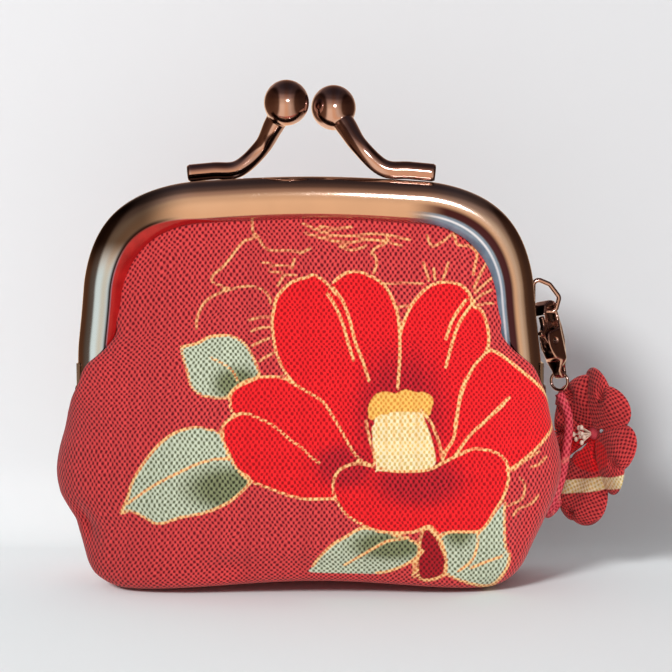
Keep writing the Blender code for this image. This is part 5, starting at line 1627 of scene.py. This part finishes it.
# %% Cut a petal
PETAL_LENGTHS = (8.4, 8.6, 13.4, 5.9, 7.2)
PETAL_TURNS = (60, -28, -102, -176, 120)
PETAL_SPREADS = (1.2, 1.2, 0.95, 0.8, 0.8)
PETAL_ROOT, PETAL_HALF_WIDTH, PETAL_NOTCH = 1.1, 6.0, 1.2
FULLNESS_SKEW, FULLNESS_POWER = 1.25, 0.6
LAYER_GAP = 0.05
PETAL_GRID = ((34, 23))


def petal_layers(length, spread):
    """Two flat layers of a petal with one shared edge: points, faces and their shares along and across."""
    points, shares = [], []
    rows, columns = PETAL_GRID
    for layer in (1, -1):
        for row in range(rows + 1):
            t = 0.5 - 0.5 * math.cos(math.pi * row / rows)
            reach = PETAL_ROOT + (length + PETAL_ROOT) * t
            fullness = math.sin(math.pi * t**FULLNESS_SKEW) ** FULLNESS_POWER if 0 < t < 1 else 0.0
            half_width = max(min(PETAL_HALF_WIDTH * fullness, reach * spread), 0.0)
            for column in range(columns):
                across = -1 + 2 * column / (columns - 1)
                bow = 1 - across**2
                rise = layer * LAYER_GAP * bow * math.sin(math.pi * t)
                points.append((reach - PETAL_NOTCH * t**2 * bow, half_width * across, rise))
                shares.append((t, across))
    one = grid_faces(rows + 1, columns)
    faces = np.vstack([one, one[:, ::-1] + (rows + 1) * columns])
    return np.array(points), faces, np.array(shares)


print("a petal is cut from", 2 * PETAL_GRID[0] * (PETAL_GRID[1] - 1), "faces")

# %% Stuff a petal
SIMULATION_SCALE = 100.0
WELD_DISTANCE = 0.001
ROOT_SHARE = 0.03
FILLING_PRESSURE = 4.0
FRAMES = 18


def sew(name, length, spread):
    """A flat petal whose two layers are welded at their edge, with its flat places stored as `rest`."""
    points, faces, shares = petal_layers(length, spread)
    bm = bmesh.new()
    layer = bm.verts.layers.float_vector.new("rest")
    vertices = [bm.verts.new(point * MM * SIMULATION_SCALE) for point in points]
    for vertex, point, (t, _) in zip(vertices, points, shares):
        vertex[layer] = (point[0], point[1], t)
    for face in faces:
        bm.faces.new([vertices[index] for index in face])
    bmesh.ops.remove_doubles(bm, verts=bm.verts, dist=WELD_DISTANCE * MM * SIMULATION_SCALE)
    bmesh.ops.recalc_face_normals(bm, faces=bm.faces)
    mesh = bpy.data.meshes.new(name)
    bm.to_mesh(mesh)
    bm.free()
    rest = np.empty(len(mesh.vertices) * 3, np.float32)
    mesh.attributes["rest"].data.foreach_get("vector", rest)
    return put_in_scene(name, mesh), rest.reshape(-1, 3)


def stuff(name, length, spread):
    """Fill one petal with pressure and return it, its points and its flat coordinates."""
    petal, rest = sew(name, length, spread)
    root = petal.vertex_groups.new(name="root")
    root.add([int(i) for i in np.flatnonzero(rest[:, 2] < ROOT_SHARE)], 1.0, "REPLACE")
    cloth = petal.modifiers.new("Cloth", "CLOTH")
    settings = cloth.settings
    settings.quality = 6
    settings.mass = 0.15
    settings.tension_stiffness = settings.compression_stiffness = 18
    settings.shear_stiffness = 6
    settings.bending_stiffness = 0.4
    settings.use_pressure = True
    settings.uniform_pressure_force = FILLING_PRESSURE
    settings.vertex_group_mass = "root"
    settings.effector_weights.gravity = 0.0
    settings.shrink_min = -0.04
    cloth.collision_settings.use_collision = False
    cloth.point_cache.frame_start = 1
    cloth.point_cache.frame_end = 20
    for number in range(1, FRAMES + 1):
        bpy.context.scene.frame_set(number)
    shape = petal.evaluated_get(bpy.context.evaluated_depsgraph_get())
    full = np.array([vertex.co for vertex in shape.data.vertices]) / (MM * SIMULATION_SCALE)
    petal.modifiers.clear()
    bpy.context.scene.frame_set(1)
    return petal, full, rest


print("a petal is filled over", FRAMES, "frames")

# %% [markdown]
# A stuffed petal comes out rounder and shorter than it was cut, as a real one does. It is brought back to
# its length, creased along its middle as if stitched, and cupped towards the front. Then it is turned to
# its place about the flower's middle. A cream band and a red oval of the printed cotton cross some petals.

# %% Trim a petal
PETAL_HALF_DEPTH, PETAL_CREASE, PETAL_CUP = 2.1, 0.7, 1.6
CREASE_WIDTH = 0.28
WIDTH_KEPT, PETAL_START = 1.04, 0.6
FLOWER_CENTRE = Vector((47.0, 3.0, 23.8))
FLOWER_TURN = math.radians(58)
flower_right = Vector((math.cos(FLOWER_TURN), -math.sin(FLOWER_TURN), 0.0))
flower_face = Vector((-math.sin(FLOWER_TURN), -math.cos(FLOWER_TURN), 0.0))
flower_axes = Matrix((flower_right, Vector((0, 0, 1)), flower_face)).transposed()
flower_place = Matrix.Translation(FLOWER_CENTRE) @ flower_axes.to_4x4()


def trim(full, rest):
    """The filled petal brought back to its cut size, then creased and cupped; also which side is its face."""
    full[:, 2] *= PETAL_HALF_DEPTH / np.abs(full[:, 2]).max()
    full[:, 1] *= WIDTH_KEPT * np.abs(rest[:, 1]).max() / np.abs(full[:, 1]).max()
    stretch = (rest[:, 0].max() - PETAL_START) / np.ptp(full[:, 0])
    full[:, 0] = PETAL_START + (full[:, 0] - full[:, 0].min()) * stretch
    t = rest[:, 2]
    across = rest[:, 1] / max(np.abs(rest[:, 1]).max(), 1e-6)
    crease = PETAL_CREASE * np.exp(-((across / CREASE_WIDTH) ** 2)) * np.sin(math.pi * np.clip(t, 0, 1))
    full[:, 2] += np.where(full[:, 2] > 0, -crease, 0) + PETAL_CUP * t**2
    return full, full[:, 2] > PETAL_CUP * t**2


def moved_by(points, place):
    """Points in millimetres moved by a matrix."""
    return points @ np.array(place.to_3x3()).T + np.array(place.translation)


print("the flower's middle is at", tuple(FLOWER_CENTRE))

# %% Print a petal
BAND = (((40.5, 14.0), (44.0, 15.0), (47.0, 15.9), (50.0, 16.9), (52.4, 17.8)),)
BAND_HALF_WIDTH = 1.05
OVAL_MIDDLE, OVAL_SIZE = (44.9, 20.4), (3.2, 2.9)
PRINTED_PETALS = (1, 2, 3)
WEAVE_SCALE, PETAL_SHIFT, BACK_LAYER_SHIFT = 1.3, 17.3, 40.0
NO_PRINT = 9.0


def print_petal(petal, index, rest, in_front, points):
    """Store the petal's flat coordinates and where the band and the oval cross it."""
    shift = np.where(in_front, 0.0, BACK_LAYER_SHIFT)
    give_flat(petal, rest[:, 0] * WEAVE_SCALE + index * PETAL_SHIFT, rest[:, 1] * WEAVE_SCALE + shift)
    for name in ("gold_line", "thin_line", "leaf", "bud", "tuft"):
        give(petal, name, np.full(len(points), NO_PRINT))
    for name in ("deep", "leaf_dark", "stripe"):
        give(petal, name, np.zeros(len(points)))
    seen = np.stack([seen_in_plane(points[:, 0], points[:, 1], CAMERA_PLACE[0]), points[:, 2]], 1)
    away = 0.0 if index in PRINTED_PETALS else NO_PRINT
    oval = np.hypot(*((seen - OVAL_MIDDLE) / OVAL_SIZE).T)
    give(petal, "flower", (oval - 1) * 4 + away)
    give(petal, "tube", distance_to(seen, BAND) - BAND_HALF_WIDTH + away)


for index, length in enumerate(PETAL_LENGTHS):
    petal, full, rest = stuff(f"petal_{index + 1}_cotton", length, PETAL_SPREADS[index])
    thickest = float(np.abs(full[:, 2]).max())
    full, in_front = trim(full, rest)
    place = flower_place @ Matrix.Rotation(math.radians(PETAL_TURNS[index]), 4, "Z")
    points = moved_by(full, place)
    petal.data.vertices.foreach_set("co", (points * MM).ravel())
    petal.data.update()
    petal.data.shade_smooth()
    petal.data.materials.append(petal_cotton)
    print_petal(petal, index, rest, in_front, points)
    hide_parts(f"petal_{index + 1}")
    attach(petal, "charm")
    print(petal.name, len(petal.data.vertices), "points,", round(thickest, 2), "mm thick before trimming")

# %% [markdown]
# ### Stamens
#
# Nine waxed threads with beaded ends fan out of a small button at the flower's middle. Hair particles
# could scatter them, but nine are few enough to set one by one, in a ring of long and short, steep and
# flat ones, as fingers would spread them.

# %% Threads, beads and button
STAMEN_COUNT, FIRST_TURN = 9, 0.4
STEEP, FLAT, FLATTER = 8, 26, 5
STAMEN_LENGTH, LENGTH_STEP = 2.5, 0.3
THREAD_RADIUS, BEAD_RADIUS, BUTTON_RADIUS = 0.13, 0.34, 1.1


def ball(name, radius, squash, place, rings, material):
    """A small ball, flattened or drawn out, moved to its place in millimetres."""
    bm = bmesh.new()
    bmesh.ops.create_uvsphere(bm, u_segments=rings[0], v_segments=rings[1], radius=radius * MM)
    bmesh.ops.scale(bm, vec=(1.0, 1.0, squash), verts=bm.verts)
    bmesh.ops.transform(bm, matrix=place, verts=bm.verts)
    mesh = bpy.data.meshes.new(name)
    bm.to_mesh(mesh)
    bm.free()
    mesh.shade_smooth()
    mesh.materials.append(material)
    return put_in_scene(name, mesh)


stamen_pieces = []
for index in range(STAMEN_COUNT):
    turn = math.tau * index / STAMEN_COUNT + FIRST_TURN
    lean = math.radians(STEEP if index % 3 == 0 else FLAT + FLATTER * (index % 2))
    length = STAMEN_LENGTH + LENGTH_STEP * ((index * 5) % 3)
    share = np.linspace(0, 1, 12)
    sideways = np.sin(share * lean) * length * 0.9
    outwards = np.cos(share * lean * 0.6) * length * share + 0.4
    local = np.stack([sideways * math.cos(turn), sideways * math.sin(turn), outwards], 1)
    thread = moved_by(local, flower_place)
    stamen_pieces.append(tube_mesh("stamen", thread, THREAD_RADIUS, waxed_thread, 10))
    bead_place = Matrix.Translation(Vector(thread[-1]) * MM)
    stamen_pieces.append(ball("bead", BEAD_RADIUS, 1.25, bead_place, (14, 10), waxed_thread))
button_place = Matrix.Translation(FLOWER_CENTRE * MM) @ flower_axes.to_4x4()
button = ball("stamens_threads", BUTTON_RADIUS, 0.8, button_place, (32, 20), cord_cotton)
stamens = join(button, stamen_pieces)
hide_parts("stamens")
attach(stamens, "charm")
print("stamens:", len(stamens.data.vertices), "points")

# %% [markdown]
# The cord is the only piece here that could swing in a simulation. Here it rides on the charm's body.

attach(charm_cord, "charm")

# %% [markdown]
# ## Stage
#
# A pale sweep stands close behind the purse, so that its soft shadow falls to the right as in the
# photograph. A floor and a wall would meet in a visible line, and the sweep's curved corner hides it. Its
# back is see-through, so that the purse can also be looked at from behind, and metal doesn't mirror it.

# %% Floor and backdrop
SWEEP_Y, SWEEP_RADIUS = 22.0, 14.0
SWEEP_FRONT, SWEEP_TOP, SWEEP_HALF_WIDTH = -420.0, 420.0, 500.0
PAPER_TINT_AGAINST_BOUNCE, PAPER_FAR = linear(228, 235, 236), linear(230, 230, 231)

stage_tree = material_tree("pale_paper")
from_middle = stage_tree.vector("LENGTH", stage_tree.place())["Value"]
# Close to the purse the paper is painted a cool tint, which cancels the red light that the cloth bounces onto
# it.
near = stage_tree.ramp(from_middle, 0.03, 0.11, 1.0, 0.0)
stage_tree.set(Base_Color=stage_tree.mix(near, PAPER_FAR, PAPER_TINT_AGAINST_BOUNCE), Roughness=1.0, Specular_IOR_Level=0.0)
behind = stage_tree.node("ShaderNodeNewGeometry").outputs["Backfacing"]
see_through = stage_tree.node("ShaderNodeBsdfTransparent").outputs[0]
one_sided = stage_tree.mix_shaders(behind, stage_tree.shader.outputs[0], see_through)
stage_tree.put(stage_tree.tree.nodes["Material Output"], 0, one_sided)

profile = [(SWEEP_FRONT, 0.0), (SWEEP_Y, 0.0)]
for angle in np.linspace(0.1, math.pi / 2, 14):
    profile.append((SWEEP_Y + SWEEP_RADIUS * math.sin(angle), SWEEP_RADIUS * (1 - math.cos(angle))))
profile.append((SWEEP_Y + SWEEP_RADIUS, SWEEP_TOP))
sweep_points = [(x, y, z) for y, z in profile for x in (-SWEEP_HALF_WIDTH, SWEEP_HALF_WIDTH)]
backdrop = new_mesh("backdrop", sweep_points, grid_faces(len(profile), 2), stage_tree.owner)
backdrop.visible_glossy = False
backdrop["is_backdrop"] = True
print("the backdrop rises", SWEEP_Y, "mm behind the purse")

# %% [markdown]
# ## The room that the metal mirrors
#
# Polished metal shows little of its own, so it needs a room. A photographed room would bring its own
# picture along. Two soft ramps, one by height and one from side to side, are enough: a warm glow from
# below, a dark ceiling, and a pale window on each side. Only glossy rays see them. All other rays see an
# even pale grey, which keeps the cloth's colours as they are.

# %% World
BY_HEIGHT = (
    (0.0, linear(250, 206, 162)),
    (0.34, linear(252, 210, 166)),
    (0.54, linear(222, 182, 142)),
    (0.72, linear(168, 132, 108)),
    (0.87, linear(92, 70, 60)),
    (1.0, linear(54, 43, 42)),
)
BY_SIDE = (
    (0.0, linear(70, 58, 54)),
    (0.17, linear(84, 74, 72)),
    (0.27, linear(200, 214, 232)),
    (0.36, linear(200, 214, 232)),
    (0.50, linear(190, 186, 186)),
    (0.66, linear(176, 190, 210)),
    (0.76, linear(150, 156, 168)),
    (0.86, linear(70, 60, 58)),
    (1.0, linear(56, 48, 50)),
)
GLOSSY_STRENGTH, PLAIN_STRENGTH = 2.6, 0.40

scene = bpy.context.scene
scene.world = scene.world or bpy.data.worlds.new("room")
room = Tree(scene.world)
room.tree.nodes.clear()
direction = room.node("ShaderNodeSeparateXYZ", Vector=room.place("Generated"))


def room_ramp(axis, stops):
    """Colours from one side of the room to the other, along one axis."""
    item = room.tree.nodes.new("ShaderNodeValToRGB")
    item.color_ramp.interpolation = "EASE"
    while len(item.color_ramp.elements) < len(stops):
        item.color_ramp.elements.new(0.5)
    for element, (share, colour) in zip(item.color_ramp.elements, stops):
        element.position = share
        element.color = colour
    room.put(item, 0, room.math("MULTIPLY_ADD", direction.outputs[axis], 0.5, 0.5))
    return item.outputs[0]


mirrored = room.mix(1.0, room_ramp("Z", BY_HEIGHT), room_ramp("X", BY_SIDE), "MULTIPLY")
glossy_room = room.node("ShaderNodeBackground", Color=mirrored, Strength=GLOSSY_STRENGTH)
plain_room = room.node("ShaderNodeBackground", Color=linear(236, 236, 237), Strength=PLAIN_STRENGTH)
is_glossy = room.node("ShaderNodeLightPath").outputs["Is Glossy Ray"]
chosen = room.mix_shaders(is_glossy, plain_room.outputs[0], glossy_room.outputs[0])
room.put(room.node("ShaderNodeOutputWorld"), 0, chosen)
print("the room has", len(BY_HEIGHT), "colours by height and", len(BY_SIDE), "from side to side")

# %% [markdown]
# ## Lights
#
# The photograph has an even white ground and a purse that is lit from the upper right, with one small
# sparkle. One lamp for both would grey the ground, so a broad window lights only the backdrop, and a key
# lamp and a small flash light only the purse. Blender's light linking keeps them apart.


# %% Lamps
def area_light(name, place, target, size, power, colour=(1, 1, 1)):
    """A round lamp at a place in millimetres, aimed at another; its size is in metres."""
    data = bpy.data.lights.new(name, "AREA")
    data.shape = "DISK"
    data.size = size
    data.energy = power
    data.color = colour
    item = put_in_scene(name, data)
    item.location = Vector(place) * MM
    item.rotation_euler = (Vector(target) - Vector(place)).to_track_quat("-Z", "Y").to_euler()
    return item


def link_light(light, item, state):
    """Let a light reach only one object, or everything but it."""
    group = bpy.data.collections.new(light.name + "_reach")
    group.objects.link(item)
    light.light_linking.receiver_collection = group
    group.collection_objects[0].light_linking.link_state = state


WINDOW_PLACE, KEY_PLACE, FLASH_PLACE = (-640, -900, 720), (190, -330, 250), (40, -300, 110)
WARM_WHITE, WARMER_WHITE = (1.0, 0.985, 0.965), (1.0, 0.97, 0.93)
window_light = area_light("window_light", WINDOW_PLACE, (0, 20, 34), 0.34, 13.6)
link_light(window_light, backdrop, "INCLUDE")
key_light = area_light("key_light", KEY_PLACE, (0, -10, 30), 0.11, 1.15, WARM_WHITE)
key_light.visible_glossy = False
link_light(key_light, backdrop, "EXCLUDE")
flash_light = area_light("flash_light", FLASH_PLACE, (0, -4, 40), 0.05, 0.2, WARMER_WHITE)
link_light(flash_light, backdrop, "EXCLUDE")
print("lamps:", window_light.name, key_light.name, flash_light.name)

# %% [markdown]
# ## Camera
#
# The photograph was taken a little from above. The lens and the distance together set how large the purse
# is in the picture, and the distance alone sets how strongly its depth shows, so the distance was chosen
# first. The Standard view transform keeps the colours as they are written.

# %% Camera
CAMERA_TARGET = (4.16, PRINT_PLANE_Y, 40.6)
PICTURE_SIZE = 672
camera_data = bpy.data.cameras.new("camera")
camera_data.sensor_width = 36.0
camera_data.lens = 82.4
camera_data.clip_start = 0.01
camera = put_in_scene("camera", camera_data)
camera.location = Vector(CAMERA_PLACE) * MM
line_of_sight = Vector(CAMERA_TARGET) - Vector(CAMERA_PLACE)
camera.rotation_euler = line_of_sight.to_track_quat("-Z", "Y").to_euler()
scene.camera = camera
scene.render.resolution_x = scene.render.resolution_y = PICTURE_SIZE
scene.render.resolution_percentage = 100
scene.view_settings.view_transform = "Standard"
print("the camera looks from", CAMERA_PLACE, "mm")

# %% [markdown]
# ## Sizes and finish
#
# The CAD box and the visual's box are printed, axis by axis, in millimetres. The visual may
# pass the CAD box only by a few per cent.

# %% Print the sizes
visual_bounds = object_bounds()
for axis, label in enumerate("xyz"):
    cad, visual = ([round(v[axis] * 1000, 1) for v in bounds] for bounds in (cad_bounds, visual_bounds))
    print(label, "CAD", cad, "visual", visual)
